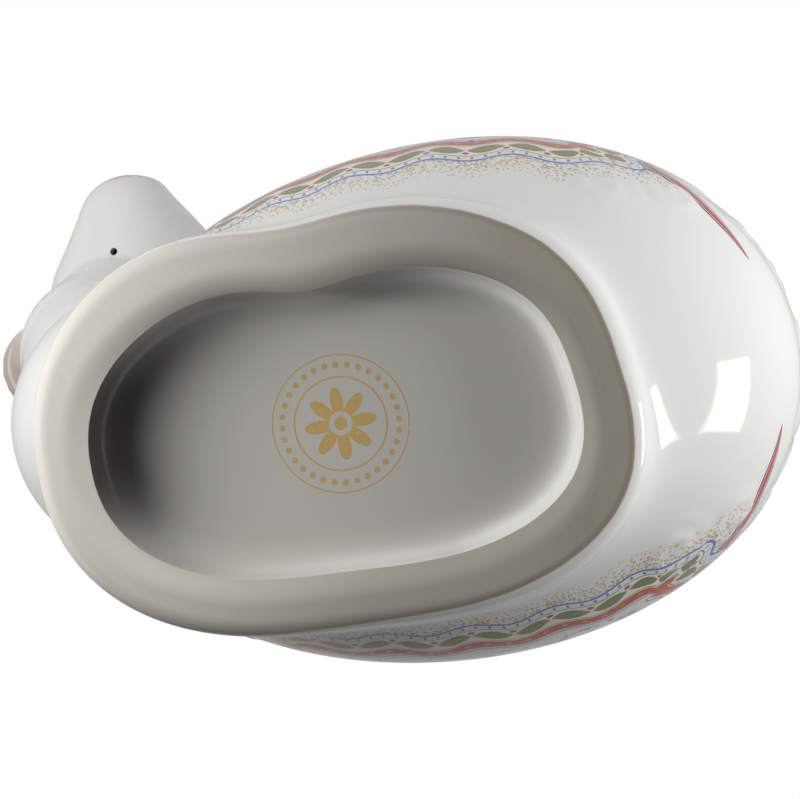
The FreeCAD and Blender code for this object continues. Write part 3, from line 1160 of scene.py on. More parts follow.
def fleece(piece: bpy.types.Object, allowed: Points, spacing: float, relief: float) -> None:
    """Raise wool curls all over a part of a piece, and sink the ground between them.

    Args:
        piece: the piece.
        allowed: which of its points carry wool.
        spacing: least distance between two curls.
        relief: how far a curl stands out.
    """
    curl_share, pitch_share, sunk_share = 0.72, 0.42, 0.6
    places = read_points(piece) / MM
    normals = read_points(piece, "normal")
    lifted = np.zeros(len(places))
    for curl in curls_over(places, allowed, spacing, spacing * curl_share, relief, spacing * pitch_share):
        lifted = np.maximum(lifted, curl.height(places, normals))
    write_points(piece, (places + normals * (lifted - relief * sunk_share * allowed)[:, None]) * MM)


@dataclass(frozen=True)
class Knoll:
    """A round rise or dent in a face, in millimetres along the gaze, sideways and up."""

    along: float
    sideways: float
    up: float
    radius: float
    height: float


@dataclass(frozen=True)
class HeadForm:
    """Places and sizes of the head, in millimetres."""

    ruff: tuple[float, float, float] = (-60.2, -23.0, 80.0)
    ruff_radius: float = 17.5
    ruff_top_radius: float = 16.5
    centre: tuple[float, float, float] = (-52.9, -32.5, 105.0)
    radius: float = 21.5
    pitch: float = math.radians(8.0)
    muzzle_radius: float = 11.8
    muzzle_reach: float = 18.0
    shoulder: tuple[float, float, float] = (-47.5, -8.0, 55.0)
    shoulder_radius: float = 25.2
    vent_radius: float = 0.8
    vent: tuple[float, float] = (-54.5, -44.7)

    @property
    def gaze(self) -> Points:
        """The way the muzzle points."""
        return np.array([0.0, -math.cos(self.pitch), -math.sin(self.pitch)])

    def local(self, places: Points) -> Points:
        """Places along the gaze, sideways from the middle and up from the centre of the head.

        Args:
            places: the points.

        Returns:
            The three distances at each point.
        """
        up = np.array([0.0, -math.sin(self.pitch), math.cos(self.pitch)])
        gap = places - np.array(self.centre)
        return np.stack([gap @ self.gaze, gap[:, 0], gap @ up], axis=-1)


@dataclass
class Head:
    """The head with its woolly ruff, luted to the shoulder."""

    form: HeadForm = field(default_factory=HeadForm)
    voxel: float = 0.55
    brow: float = 9.0
    hairline: float = 11.0
    cheek: float = -3.0
    jaw: float = -8.0
    wool_spacing: float = 7.5
    wool_relief: float = 0.8
    vent_depth: float = 8.0
    soften: int = 8
    mouth_up: float = 1.2
    mouth_bend: float = 0.03
    mouth_depth: float = 0.4
    mouth_width: float = 0.6
    mouth_start: float = 24.0
    mouth_fade: float = 3.0
    knoll_fall: float = 1.6
    knolls: tuple[Knoll, ...] = (
        Knoll(8.0, 13.0, 12.5, 5.0, 0.9),
        Knoll(11.0, 17.0, 7.0, 5.5, -0.9),
        Knoll(11.0, 17.0, 7.0, 2.6, 1.4),
        Knoll(9.0, 17.0, -5.0, 8.0, 0.5),
        Knoll(28.0, 3.6, 4.2, 1.5, -1.1),
        Knoll(25.5, 6.5, 3.0, 4.0, 0.5),
    )

    def carve(self, piece: bpy.types.Object) -> None:
        """Raise brows, eyes and cheeks and sink the nostrils and the mouth.

        Args:
            piece: the head.
        """
        places = read_points(piece) / MM
        local = self.form.local(places)
        lifted = np.zeros(len(places))
        for knoll in self.knolls:
            gap = np.stack([
                local[:, 0] - knoll.along,
                np.abs(local[:, 1]) - knoll.sideways,
                local[:, 2] - knoll.up,
            ], axis=-1)
            near = np.linalg.norm(gap, axis=-1) / knoll.radius
            lifted += knoll.height * np.exp(-near ** 2 * self.knoll_fall)
        mouth = local[:, 2] - self.mouth_up + self.mouth_bend * local[:, 1] ** 2
        front = np.clip((local[:, 0] - self.mouth_start) / self.mouth_fade, 0, 1)
        lifted -= self.mouth_depth * np.exp(-(mouth / self.mouth_width) ** 2) * front
        write_points(piece, (places + read_points(piece, "normal") * lifted[:, None]) * MM)

    def pierce(self, piece: bpy.types.Object) -> None:
        """Bore the firing vent under the jaw.

        Args:
            piece: the head.
        """
        form = self.form
        height = form.centre[2] - form.radius
        deselect_all()
        bpy.ops.mesh.primitive_cylinder_add(
            vertices=32, radius=form.vent_radius * MM, depth=2 * self.vent_depth * MM,
            location=(form.vent[0] * MM, form.vent[1] * MM, height * MM))
        drill = bpy.context.active_object
        modify(piece, "BOOLEAN", operation="DIFFERENCE", solver="EXACT", object=drill)
        bpy.data.objects.remove(drill)

    def build(self) -> bpy.types.Object:
        """Model the head.

        Returns:
            The piece.
        """
        form = self.form
        centre = np.array(form.centre)
        ruff_centre = np.array(form.ruff)
        ruff = capsule("ruff", ruff_centre, form.ruff_radius, centre, form.ruff_top_radius)
        shoulder = capsule(
            "shoulder", ruff_centre, form.ruff_radius - 0.3,
            np.array(form.shoulder), form.shoulder_radius)
        piece = capsule(
            "ram_head", centre, form.radius, centre + form.gaze * form.muzzle_reach, form.muzzle_radius)
        activate(piece)
        ruff.select_set(True)
        shoulder.select_set(True)
        bpy.ops.object.join()
        melt(piece, self.voxel, self.soften)
        self.carve(piece)
        places = read_points(piece) / MM
        local = form.local(places)
        crown = (local[:, 0] < self.brow) & (local[:, 2] > self.hairline)
        nape = (local[:, 0] < self.cheek) & (local[:, 2] > self.jaw)
        fleece(piece, crown | nape, self.wool_spacing, self.wool_relief)
        self.pierce(piece)
        smooth(piece)
        return piece

    def dress(self) -> None:
        """Model the head and paint its face."""
        seat(self.build(), Body.BOTTLE, Slot.PORCELAIN, FaceGlaze(self.form).material(), "head_shell")


class Side(Enum):
    """The animal's two sides, by the sign of X at its head."""

    RIGHT = -1.0
    LEFT = 1.0


def paired_skin(
    name: str, side: Side, head: HeadForm, places: Points, poles: Sequence[Points]
) -> bpy.types.Object:
    """Shape a piece of the right side of the head, or its mirror image on the left.

    Args:
        name: name of the piece, without its side.
        side: the side that it is on.
        head: the head that carries it.
        places: rings of the right piece from the centre of the head, in millimetres.
        poles: the points that close its first and last rings.

    Returns:
        The piece.
    """
    if side is Side.LEFT:
        mirror = np.array([-1.0, 1.0, 1.0])
        places = places[:, ::-1] * mirror
        poles = [pole * mirror for pole in poles]
    centre = np.array(head.centre)
    first, last = ((pole + centre) * MM for pole in poles)
    return ring_skin(f"{side.name.lower()}_{name}", (places + centre) * MM, first, last)


@dataclass
class Horn:
    """A ridged horn that winds back and down beside an ear."""

    side: Side
    head: HeadForm = field(default_factory=HeadForm)
    root_radius: float = 6.5
    tip_radius: float = 2.0
    coil_start: float = 17.5
    coil_end: float = 10.0
    spread_start: float = 8.0
    spread_end: float = 27.0
    start_angle: float = math.radians(-25.0)
    turn_angle: float = math.radians(235.0)
    coil_back: float = 12.5
    coil_up: float = 3.0
    ridges: int = 17
    ridge_crowding: float = 0.85
    groove: float = 0.13
    groove_inside: float = 0.6
    flatness: float = 0.12
    blunt: float = 0.4
    around: int = 48
    rings: int = 170

    def line(self, share: float) -> Points:
        """A point on the winding line of the right horn, from the centre of the head.

        Args:
            share: share of the way from root to tip.

        Returns:
            The place.
        """
        angle = self.start_angle + self.turn_angle * share
        coil = self.coil_start + (self.coil_end - self.coil_start) * share
        spread = self.spread_start
        spread += (self.spread_end - self.spread_start) * math.sin(share * math.pi / 2)
        return np.array([
            -spread, self.coil_back + coil * math.sin(angle), self.coil_up + coil * math.cos(angle)])

    def build(self) -> bpy.types.Object:
        """Model the horn.

        Returns:
            The piece.
        """
        turn = round_angles(self.around)
        step = 0.001
        rings = []
        for share in np.linspace(0, 1, self.rings):
            place = self.line(share)
            along = unit(self.line(share + step) - self.line(share - step))
            outward = np.array([0.0, place[1] - self.coil_back, place[2] - self.coil_up])
            side = unit(outward - along * (outward @ along))
            rise = np.cross(side, along)
            radius = self.root_radius + (self.tip_radius - self.root_radius) * share
            wave = 0.5 + 0.5 * math.cos(2 * math.pi * self.ridges * share ** self.ridge_crowding)
            flat = 1 - self.flatness * np.cos(turn) ** 2
            outer = self.groove_inside + (1 - self.groove_inside) * np.cos(turn)
            reach = radius * flat * (1 - self.groove * wave ** 2 * outer)
            rings.append(place + reach[:, None] * spokes(turn, side, rise))
        end = self.line(1.0)
        tip = end + unit(end - self.line(1 - step)) * self.tip_radius * self.blunt
        rings.append(tip + (rings[-1] - end) * (1 - self.blunt) - (tip - end) * self.blunt)
        return paired_skin("ridged_horn", self.side, self.head, np.array(rings), (self.line(0.0), tip))

    def dress(self, gilt: bpy.types.Material) -> None:
        """Model the horn and gild it."""
        seat(self.build(), Body.BOTTLE, Slot.GILT, gilt, f"{self.side.name.lower()}_horn")


@dataclass
class Ear:
    """A leaf-shaped ear, hollowed on its upper side."""

    side: Side
    head: HeadForm = field(default_factory=HeadForm)
    root: float = 16.0
    back: float = 9.5
    up: float = 3.0
    length: float = 20.0
    width: float = 21.5
    thickness: float = 5.5
    droop: float = math.radians(14.0)
    widest: float = 0.42
    sunk: float = 0.14
    hollow_width: float = 0.86
    hollow_depth: float = 0.4
    hollow_start: float = 1 / 3
    root_taper: float = 0.25
    tip_shade_start: float = 0.5
    tip_shade_length: float = 0.9
    near_tip: float = 0.99
    around: int = 64
    rings: int = 60

    def fullness(self, share: float) -> float:
        """Width of the leaf at a share of its length.

        Args:
            share: share of the way from root to tip.

        Returns:
            The width, as a share of the widest.
        """
        if share < self.widest:
            return 1 - self.root_taper * ((self.widest - share) / self.widest) ** 2
        return math.sqrt(max(1 - ((share - self.widest) / (1 - self.widest)) ** 2, 0.0))

    def build(self) -> bpy.types.Object:
        """Model the ear and mark its hollow, and its tip for the painted shade.

        Returns:
            The piece.
        """
        along = np.array([-math.cos(self.droop), 0.0, -math.sin(self.droop)])
        across = np.array([0.0, 1.0, 0.0])
        upward = np.cross(along, across)
        turn = round_angles(self.around)
        root = np.array([-self.root, self.back, self.up])
        rings = []
        for share in 1 - np.cos(np.linspace(0, math.pi / 2, self.rings)[:-1]) * (1 + self.sunk):
            full = self.fullness(max(share, 0.0))
            reach = self.width / 2 * full * np.cos(turn)
            lift = self.thickness / 2 * full * np.sin(turn)
            hollow = np.clip(1 - (np.cos(turn) / self.hollow_width) ** 2, 0, 1)
            hollow *= np.clip(share / self.hollow_start, 0, 1)
            lift += np.where(np.sin(turn) < 0, self.hollow_depth * self.thickness * full * hollow, 0.0)
            rings.append(
                root + along * self.length * share
                + reach[:, None] * across + lift[:, None] * upward)
        poles = (root - along * self.length * self.sunk, root + along * self.length)
        piece = paired_skin("leaf_ear", self.side, self.head, np.array(rings)[:, ::-1], poles)
        gap = read_points(piece) / MM - np.array(self.head.centre)
        gap = gap * np.array([-self.side.value, 1.0, 1.0]) - root
        shares = gap @ along / self.length
        full = np.array([self.fullness(min(max(share, 0.0), self.near_tip)) for share in shares])
        aside = gap @ across / (self.hollow_width / 2 * self.width * full)
        hollow = np.where(gap @ upward < 0, np.clip(1 - aside ** 2, 0, 1), 0.0)
        # Painted shade: the ear darkens towards its tip.
        tip = np.clip((shares - self.tip_shade_start) / self.tip_shade_length, 0, 1)
        write_field(piece, "hollow", np.maximum(hollow, tip))
        return piece

    def dress(self, glaze: bpy.types.Material) -> None:
        """Model the ear and glaze it."""
        seat(self.build(), Body.BOTTLE, Slot.PORCELAIN, glaze, f"{self.side.name.lower()}_ear")


@dataclass
class Tail:
    """The short woolly tail that lies down the rump."""

    hull: HullForm = field(default_factory=HullForm)
    radius: float = 8.5
    tip_radius: float = 5.0
    length: float = 13.0
    latitude: float = math.radians(35.0)
    sink: float = 2.5
    voxel: float = 0.4
    soften: int = 4
    wool_start: float = 1.0
    wool_spacing: float = 5.6
    wool_relief: float = 0.6

    def build(self) -> bpy.types.Object:
        """Model the tail.

        Returns:
            The piece.
        """
        hull = self.hull
        half = hull.length / 2
        down = unit(np.array([
            half * math.sin(self.latitude), 0.0, -hull.crown_rise * math.cos(self.latitude)]))
        outward = np.array([-down[2], 0.0, down[0]])
        rump = np.array([
            hull.back + half * math.cos(self.latitude),
            hull.right,
            hull.belly_height + hull.crown_rise * math.sin(self.latitude),
        ])
        start = rump - outward * self.sink
        piece = capsule("woolly_tail", start, self.radius, start + down * self.length, self.tip_radius)
        melt(piece, self.voxel, self.soften)
        outer = (read_points(piece) / MM - start) @ outward > self.wool_start
        fleece(piece, outer, self.wool_spacing, self.wool_relief)
        smooth(piece)
        return piece

    def dress(self, glaze: bpy.types.Material) -> None:
        """Model the tail and glaze it."""
        seat(self.build(), Body.BOTTLE, Slot.PORCELAIN, glaze, "tail")


# Stopper


def turned(
    name: str, axis: tuple[float, float], stations: Sequence[tuple[float, float]], vertices: int = 96,
) -> bpy.types.Object:
    """Turn a piece on an upright axis by extruding a disc from station to station.

    Args:
        name: name of the piece.
        axis: place of the axis, in millimetres.
        stations: radius and height of each step, in millimetres; radius 0 closes the end.
        vertices: points round the axis.

    Returns:
        The piece.
    """
    x, y = axis[0] * MM, axis[1] * MM
    radius, height = stations[0]
    deselect_all()
    bpy.ops.mesh.primitive_circle_add(
        vertices=vertices, radius=radius * MM, fill_type="NGON", location=(x, y, height * MM))
    piece = named(name)
    bpy.ops.object.transform_apply(location=True)
    bpy.ops.object.mode_set(mode="EDIT")
    bpy.ops.mesh.select_all(action="SELECT")
    for next_radius, next_height in stations[1:]:
        climb = (0.0, 0.0, (next_height - height) * MM)
        bpy.ops.mesh.extrude_region_move(TRANSFORM_OT_translate={"value": climb})
        if next_radius == 0:
            bpy.ops.mesh.merge(type="CENTER")
            break
        scale = next_radius / radius
        bpy.ops.transform.resize(value=(scale, scale, 1.0), center_override=(x, y, next_height * MM))
        radius, height = next_radius, next_height
    bpy.ops.mesh.select_all(action="SELECT")
    bpy.ops.mesh.normals_make_consistent(inside=False)
    bpy.ops.object.mode_set(mode="OBJECT")
    bpy.ops.object.shade_smooth_by_angle(angle=math.radians(40.0))
    return piece


@dataclass
class Stopper:
    """The porcelain knob and the cork that it is glued into."""

    hull: HullForm = field(default_factory=HullForm)
    flange_overhang: float = 0.8
    flange_thickness: float = 3.0
    waist_radius: float = 6.5
    ball_radius: float = 10.5
    ball_rise: float = 12.0
    edge: float = 1.2
    spigot_radius: float = 5.0
    spigot_length: float = 9.0
    spigot_clearance: float = 0.05
    edge_rings: int = 6
    waist_rings: int = 12
    waist_power: float = 1.6
    waist_gap: float = 0.4
    ball_rings: int = 40
    ball_start: float = 1.04
    cork_length: float = 22.0
    cork_clearance: float = 0.05
    cork_chamfer: float = 1.5

    @property
    def axis(self) -> tuple[float, float]:
        """Place of the axis."""
        return self.hull.back, self.hull.right

    def knob(self) -> bpy.types.Object:
        """Model the knob: spigot, rounded flange, hollow waist and ball.

        Returns:
            The piece.
        """
        rim = self.hull.rim_height
        flange = self.hull.bore_diameter / 2 + self.hull.neck_wall + self.flange_overhang
        top = rim + self.flange_thickness
        spigot = self.spigot_radius - self.spigot_clearance
        stations = [(spigot, rim - self.spigot_length), (spigot, rim)]
        edge = quarter_round(self.edge_rings)
        stations += [(flange - self.edge * drawn, rim + self.edge * climbed) for drawn, climbed in edge]
        stations += [(flange - self.edge * inset, top - self.edge * below) for below, inset in edge]
        ball = top + self.ball_rise
        start = math.asin(self.waist_radius * self.ball_start / self.ball_radius)
        meeting = ball - self.ball_radius * math.cos(start) - self.waist_gap
        for share in np.linspace(0, 1, self.waist_rings)[1:]:
            hollow = (1 - share) ** 3
            stations.append((
                self.waist_radius + (flange - self.edge - self.waist_radius) * hollow,
                top + (meeting - top) * share ** self.waist_power))
        for fall in np.linspace(start, math.pi, self.ball_rings)[:-1]:
            stations.append((self.ball_radius * math.sin(fall), ball - self.ball_radius * math.cos(fall)))
        stations.append((0, ball + self.ball_radius))
        return turned("ball_knob", self.axis, stations)

    def cork(self) -> bpy.types.Object:
        """Model the cork with the socket for the spigot.

        Returns:
            The piece.
        """
        rim = self.hull.rim_height
        radius = self.hull.bore_diameter / 2 - self.cork_clearance
        foot = rim - self.cork_length
        soft = 0.5
        stations = [
            (radius - self.cork_chamfer, foot),
            (radius - 0.35, foot + self.cork_chamfer - 0.3),
            (radius, foot + self.cork_chamfer + soft),
            (radius, rim - soft),
            (radius - 0.15, rim - 0.15),
            (radius - soft, rim - 0.02),
            (self.spigot_radius, rim - 0.02),
            (self.spigot_radius, rim - self.spigot_length - 0.05),
        ]
        return turned("cork_plug", self.axis, stations)

    def dress(self) -> None:
        """Model the stopper and finish both of its pieces."""
        seat(self.knob(), Body.STOPPER, Slot.PORCELAIN, KnobGlaze(self).material(), "stopper_knob")
        seat(self.cork(), Body.STOPPER, Slot.CORK, CorkGrain().material(), "stopper_cork")


# Finishes


WHITE: Colour = (0.69, 0.69, 0.665)
THICK_WHITE: Colour = tuple(part * 0.965 for part in WHITE)
GLAZE_SPECK: Colour = (0.35, 0.3, 0.24)
GLAZE_ROUGHNESS = 0.08
GLAZE_IOR = 1.5
RIPPLE_SCALE, RIPPLE_DEPTH, RIPPLE_STRENGTH = 60.0, 0.0002, 0.25


def distance(run: Number, climb: Number) -> Number:
    """Distance of a point from where its run and climb start."""
    return (run * run + climb * climb).root()


class Coat:
    """White glaze under layers of paint, with its metal, roughness and ripple."""

    def __init__(self, shader: Shader) -> None:
        """Start with white glaze, a little greyer where it lies thicker, and its few specks.

        Args:
            shader: the material that carries the glaze.
        """
        self.shader = shader
        self.metal: Any = None
        self.roughness: Any = GLAZE_ROUGHNESS
        self.height = shader.noise(RIPPLE_SCALE)
        self.colour = shader.mix(shader.noise(14.0).rise(0.3, 0.7), WHITE, THICK_WHITE)
        self.paint(shader.specks(260.0).below(0.028, 0.008) * 0.35, GLAZE_SPECK)

    def paint(self, share: Any, colour: Enamel | Any) -> None:
        """Lay an enamel or another colour over a share of the surface; gold is metal as well.

        Args:
            share: where the colour lies, from 0 to 1.
            colour: an enamel, a colour or a blend.
        """
        tint = colour.value if isinstance(colour, Enamel) else colour
        self.colour = self.shader.mix(share, self.colour, tint)
        if colour is Enamel.GOLD:
            self.metal = share if self.metal is None else self.metal.higher(share)

    def bands(
        self, place: Number, soft: float, rows: Sequence[tuple[float, float, Enamel]],
        where: Number | None = None,
    ) -> None:
        """Paint even bands.

        Args:
            place: the value that the bands lie along.
            soft: softness of their edges.
            rows: start, end and enamel of each band.
            where: share of the surface that carries them, or none for all of it.
        """
        for low, high, enamel in rows:
            band = place.within(low, high, soft)
            self.paint(band if where is None else band * where, enamel)


@dataclass(frozen=True)
class Glaze:
    """White glaze without any painting, and the ground of the painted ones."""

    name: ClassVar[str] = "white_glaze"
    gold_shine: ClassVar[float] = 0.0

    def decorate(self, coat: Coat) -> None:
        """Leave the glaze white."""

    def material(self) -> bpy.types.Material:
        """Make the finish.

        Returns:
            The material.
        """
        shader = Shader(self.name, IOR=GLAZE_IOR)
        coat = Coat(shader)
        self.decorate(coat)
        shader.set("Base Color", coat.colour)
        shader.set("Roughness", coat.roughness)
        if coat.metal is not None:
            shader.set("Metallic", coat.metal * self.gold_shine)
        shader.bump(coat.height, RIPPLE_DEPTH, RIPPLE_STRENGTH)
        return shader.material


@dataclass(frozen=True)
class PaintedGlaze(Glaze):
    """White glaze over a bare foot, with a painted cloth, ribbons and a rosette under the foot, and painted
    light and shade on the foot ring and in its recess.
    """

    name: ClassVar[str] = "painted_glaze"
    gold_shine: ClassVar[float] = 0.75

    form: HullForm
    bare: Colour = (0.68, 0.66, 0.6)
    # The next four colours are painted light and shade: the clay towards the rump, the recess, its lit walls
    # and the key light's shadow there; the fifth, a brown, is partly real flashing and partly painted shade.
    painted_shade_clay: Colour = (0.33, 0.319, 0.28)
    recess_shade_white: Colour = (0.475, 0.47, 0.432)
    painted_light_white: Colour = (0.84, 0.835, 0.8)
    shade: Colour = (0.052, 0.05, 0.046)
    flash_and_shade: Colour = (0.2, 0.14, 0.085)
    speck: Colour = (0.42, 0.29, 0.12)
    mark: Colour = (0.5, 0.33, 0.1)
    leaf_period: float = 8.0
    leaf_row: float = 6.3
    leaf_half_length: float = 3.7
    leaf_half_width: float = 2.1
    vein_gap: float = 1.3
    berry_row: float = 4.6
    berry_radius: float = 0.7
    dot_row: float = 12.0
    dot_radius: float = 0.62
    blossom_gap: float = 15.0
    blossom_radius: float = 2.7
    petal_reach: float = 0.75
    petals: int = 5
    field_start: float = 18.0
    ribbon_start: float = 56.0
    ribbon_sweep: float = 42.0
    ribbon_height: float = 42.0
    ribbon_fall: float = 8.0
    ribbon_flutter: float = 1.5
    ribbon_width: float = 4.4
    bead_height: float = 38.0
    bead_gap: float = 5.0
    rosette_centre: tuple[float, float] = (-0.2, 1.6)
    rosette_dots: float = 32.0
    rosette_ring: float = 11.6

    def hem(self, coat: Coat) -> None:
        """Paint the hem of the cloth: gold specks, lines, a dotted band and a row of leaves.

        Args:
            coat: the glaze.
        """
        depth = coat.shader.attribute("hem")
        along = coat.shader.attribute("along")
        speck = coat.shader.specks(1250.0) - depth * 0.03
        coat.paint(speck.below(0.5, 0.08) * depth.within(-8.5, 0.3, 0.3) * 0.85, self.speck)
        coat.bands(depth, 0.06, (
            (0.0, 0.8, Enamel.COBALT), (2.8, 3.2, Enamel.GOLD), (9.4, 9.9, Enamel.GOLD),
            (10.2, 13.8, Enamel.IRON_RED), (13.8, 14.3, Enamel.GOLD), (15.0, 15.6, Enamel.COBALT)))
        tick = abs(along.cell(self.leaf_period / 3))
        coat.paint(tick.below(0.28, 0.06) * depth.within(1.2, 2.4, 0.08), Enamel.COBALT)
        dot = distance(along.cell(self.leaf_period / 2), depth - self.dot_row)
        coat.paint(dot.below(self.dot_radius, 0.08), Enamel.GOLD)
        step = along.cell(self.leaf_period) / self.leaf_half_length
        across = abs(depth - self.leaf_row)
        leaf = across / self.leaf_half_width + step * step
        coat.paint(leaf.below(1.0, 0.06), Enamel.LEAF)
        coat.paint(leaf.within(0.96, 1.1, 0.04), Enamel.GOLD)
        rib = abs((along + across * 0.9).cell(self.vein_gap))
        veins = rib.below(0.1, 0.05).higher(across.below(0.12, 0.05))
        coat.paint(veins * leaf.below(0.85, 0.05), Enamel.GOLD)
        berry = distance(along.cell(self.leaf_period, 0.5), depth - self.berry_row)
        coat.paint(berry.below(self.berry_radius, 0.07), Enamel.IRON_RED)

    def blossoms(self, coat: Coat) -> None:
        """Scatter petalled blossoms with sprigs over the field of the cloth.

        Args:
            coat: the glaze.
        """
        run = coat.shader.attribute("run")
        drop = coat.shader.attribute("drop")
        on_field = coat.shader.attribute("hem").rise(self.field_start, self.field_start + 0.4)
        for start, colour in ((0.0, Enamel.ROSE), (0.5, Enamel.COBALT)):
            u = run.cell(self.blossom_gap, start)
            v = drop.cell(self.blossom_gap, start)
            reach = distance(u, v)
            petals = (v.angle_of(u) * self.petals).cosine() * self.petal_reach + self.blossom_radius
            coat.paint((reach - petals).below(0.0, 0.08) * on_field, colour)
            coat.paint(abs(reach - petals).below(0.16, 0.06) * on_field, Enamel.GOLD)
            coat.paint(reach.below(0.8, 0.08) * on_field, Enamel.GOLD)
            sprig = abs(v - u * u * 0.12 - 3.6)
            coat.paint(sprig.below(0.3, 0.08) * abs(u).below(4.2, 0.3) * on_field, Enamel.LEAF)

    def ribbon(self, coat: Coat, x: Number, y: Number, z: Number) -> None:
        """Paint a tapering ribbon and a row of beads round each side of the rump.

        Args:
            coat: the glaze.
            x: place towards the rump.
            y: place towards the right flank.
            z: height above the table.
        """
        angle = abs((y - self.form.right).angle_of(x - self.form.back)) * math.degrees(1)
        share = (self.ribbon_start - angle) / self.ribbon_sweep
        flutter = (share * (2 * math.pi) - math.pi / 2).cosine() * self.ribbon_flutter
        middle = share * share * -self.ribbon_fall + self.ribbon_height + flutter
        width = (1 - share).higher(0.0) ** 0.7 * self.ribbon_width + 0.1
        off_cloth = coat.shader.attribute("hem").below(-0.2, 0.1)
        coat.bands((z - middle) / width, 0.03, (
            (-0.95, -0.62, Enamel.INK), (-0.5, 0.35, Enamel.IRON_RED), (0.35, 0.47, Enamel.GOLD),
            (0.6, 0.9, Enamel.COBALT)), share.within(0.0, 1.0, 0.004) * off_cloth)
        bead = distance(angle.cell(self.bead_gap) * 0.95, z - self.bead_height)
        coat.paint(bead.below(self.dot_radius, 0.08) * angle.within(60.0, 75.0, 0.1), Enamel.INK)

    def rosette(self, coat: Coat, x: Number, y: Number, recess: Number) -> None:
        """Gild a rosette in a ring of dots on the roof of the recess.

        Args:
            coat: the glaze.
            x: place towards the rump.
            y: place towards the right flank.
            recess: share of the recess.
        """
        u = x - self.rosette_centre[0]
        v = y - self.rosette_centre[1]
        reach = distance(u, v)
        angle = v.angle_of(u)
        lobes = abs((angle * 4).cosine()) * 4.6 + 2.6
        turn = angle / (2 * math.pi) * self.rosette_dots + self.rosette_dots
        step = (turn.part() - 0.5) * (2 * math.pi * self.rosette_ring / self.rosette_dots)
        worn = coat.shader.noise(900.0).rise(0.2, 0.4)
        for mark in (
            (reach - lobes).below(0.0, 0.1) * reach.rise(2.2, 2.5),
            reach.below(1.3, 0.1),
            reach.within(9.0, 9.35, 0.06),
            distance(step, reach - self.rosette_ring).below(self.dot_radius, 0.08),
            reach.within(13.4, 13.7, 0.06),
        ):
            coat.paint(mark * recess * worn * 0.9, self.mark)

    def foot(self, coat: Coat, x: Number, y: Number, z: Number) -> Number:
        """Paint the recess with painted shade and painted light, and the bare clay of the ring with painted
        shade towards the rump.

        Args:
            coat: the glaze.
            x: place towards the rump.
            y: place towards the right flank.
            z: height above the table.

        Returns:
            Share of the recess.
        """
        shader = coat.shader
        recess = shader.attribute("recess")
        # Painted shade: where the recess lies in the key light's shadow it is painted near black, most
        # across its middle and less towards the sides that face the flanks.
        offset = (y + 4.0) / 22.0
        painted_shade = shader.attribute("lee").rise(12.0, 58.0) * (1 - (offset * offset).rise(0.0, 1.3) * 0.72)
        # Painted light and shade in the recess: its walls at the rump end, and half as much along the right
        # flank's side, are painted a lighter white in place of the key light's reflection; the rest of the
        # recess is painted a darker white as shade.
        roof = self.form.recess_depth - 0.35 * self.form.recess_corner
        lit_low_side = y.rise(6.0, 16.0) * x.rise(-40.0, 10.0) * 0.5
        wall = z.below(roof, 0.3 * self.form.recess_corner) * x.rise(5.0, 30.0).higher(lit_low_side)
        coat.paint(recess, shader.mix(painted_shade, shader.mix(wall, self.recess_shade_white, self.painted_light_white), self.shade))
        edge = shader.attribute("bare") + (shader.noise(120.0) - 0.5) * 0.5
        bare = edge.rise(-0.06, 0.06)
        grain = shader.noise(2600.0, 2.0)
        stain = shader.noise(30.0)
        # Bare clay with random stains, and painted shade that darkens it towards the rump and the right
        # flank.
        clay = shader.mix((x + y * 0.5 + stain * 12.0).rise(-74.0, 40.0), self.bare, self.painted_shade_clay)
        dark = (grain * 0.1).higher(stain.rise(0.55, 0.85) * 0.12)
        coat.paint(bare, shader.mix(dark, clay, self.flash_and_shade))
        # A brown line at the edge of the glaze, partly the clay's real flashing and partly painted shade, as
        # it shows only towards the rump, away from the key light.
        coat.paint(edge.within(0.1, 1.1, 0.6) * (1 - recess) * x.rise(-30.0, 50.0) * 0.55, self.flash_and_shade)
        coat.roughness = bare * 0.5 + coat.roughness
        coat.height = coat.height * (1 - bare) + grain * bare * 0.25
        return recess

    def decorate(self, coat: Coat) -> None:
        """Paint the cloth and the ribbons, then the foot and its rosette.

        Args:
            coat: the glaze.
        """
        x, y, z = coat.shader.place()
        self.hem(coat)
        self.blossoms(coat)
        self.ribbon(coat, x, y, z)
        recess = self.foot(coat, x, y, z)
        self.rosette(coat, x, y, recess)
        coat.roughness = coat.metal * 0.12 + coat.roughness


@dataclass(frozen=True)
class EarGlaze(Glaze):
    """White glaze, with the ear's hollow washed fawn, and the same fawn as painted shade towards its tip."""

    name: ClassVar[str] = "ear_glaze"

    fawn: Colour = (0.42, 0.35, 0.31)

    def decorate(self, coat: Coat) -> None:
        """Paint the hollow fawn, and paint shade towards the tip."""
        wash_and_tip_shade = coat.shader.attribute("hollow") + (coat.shader.noise(300.0) - 0.5) * 0.2
        coat.paint(wash_and_tip_shade.rise(0.05, 0.5) * 0.85, self.fawn)


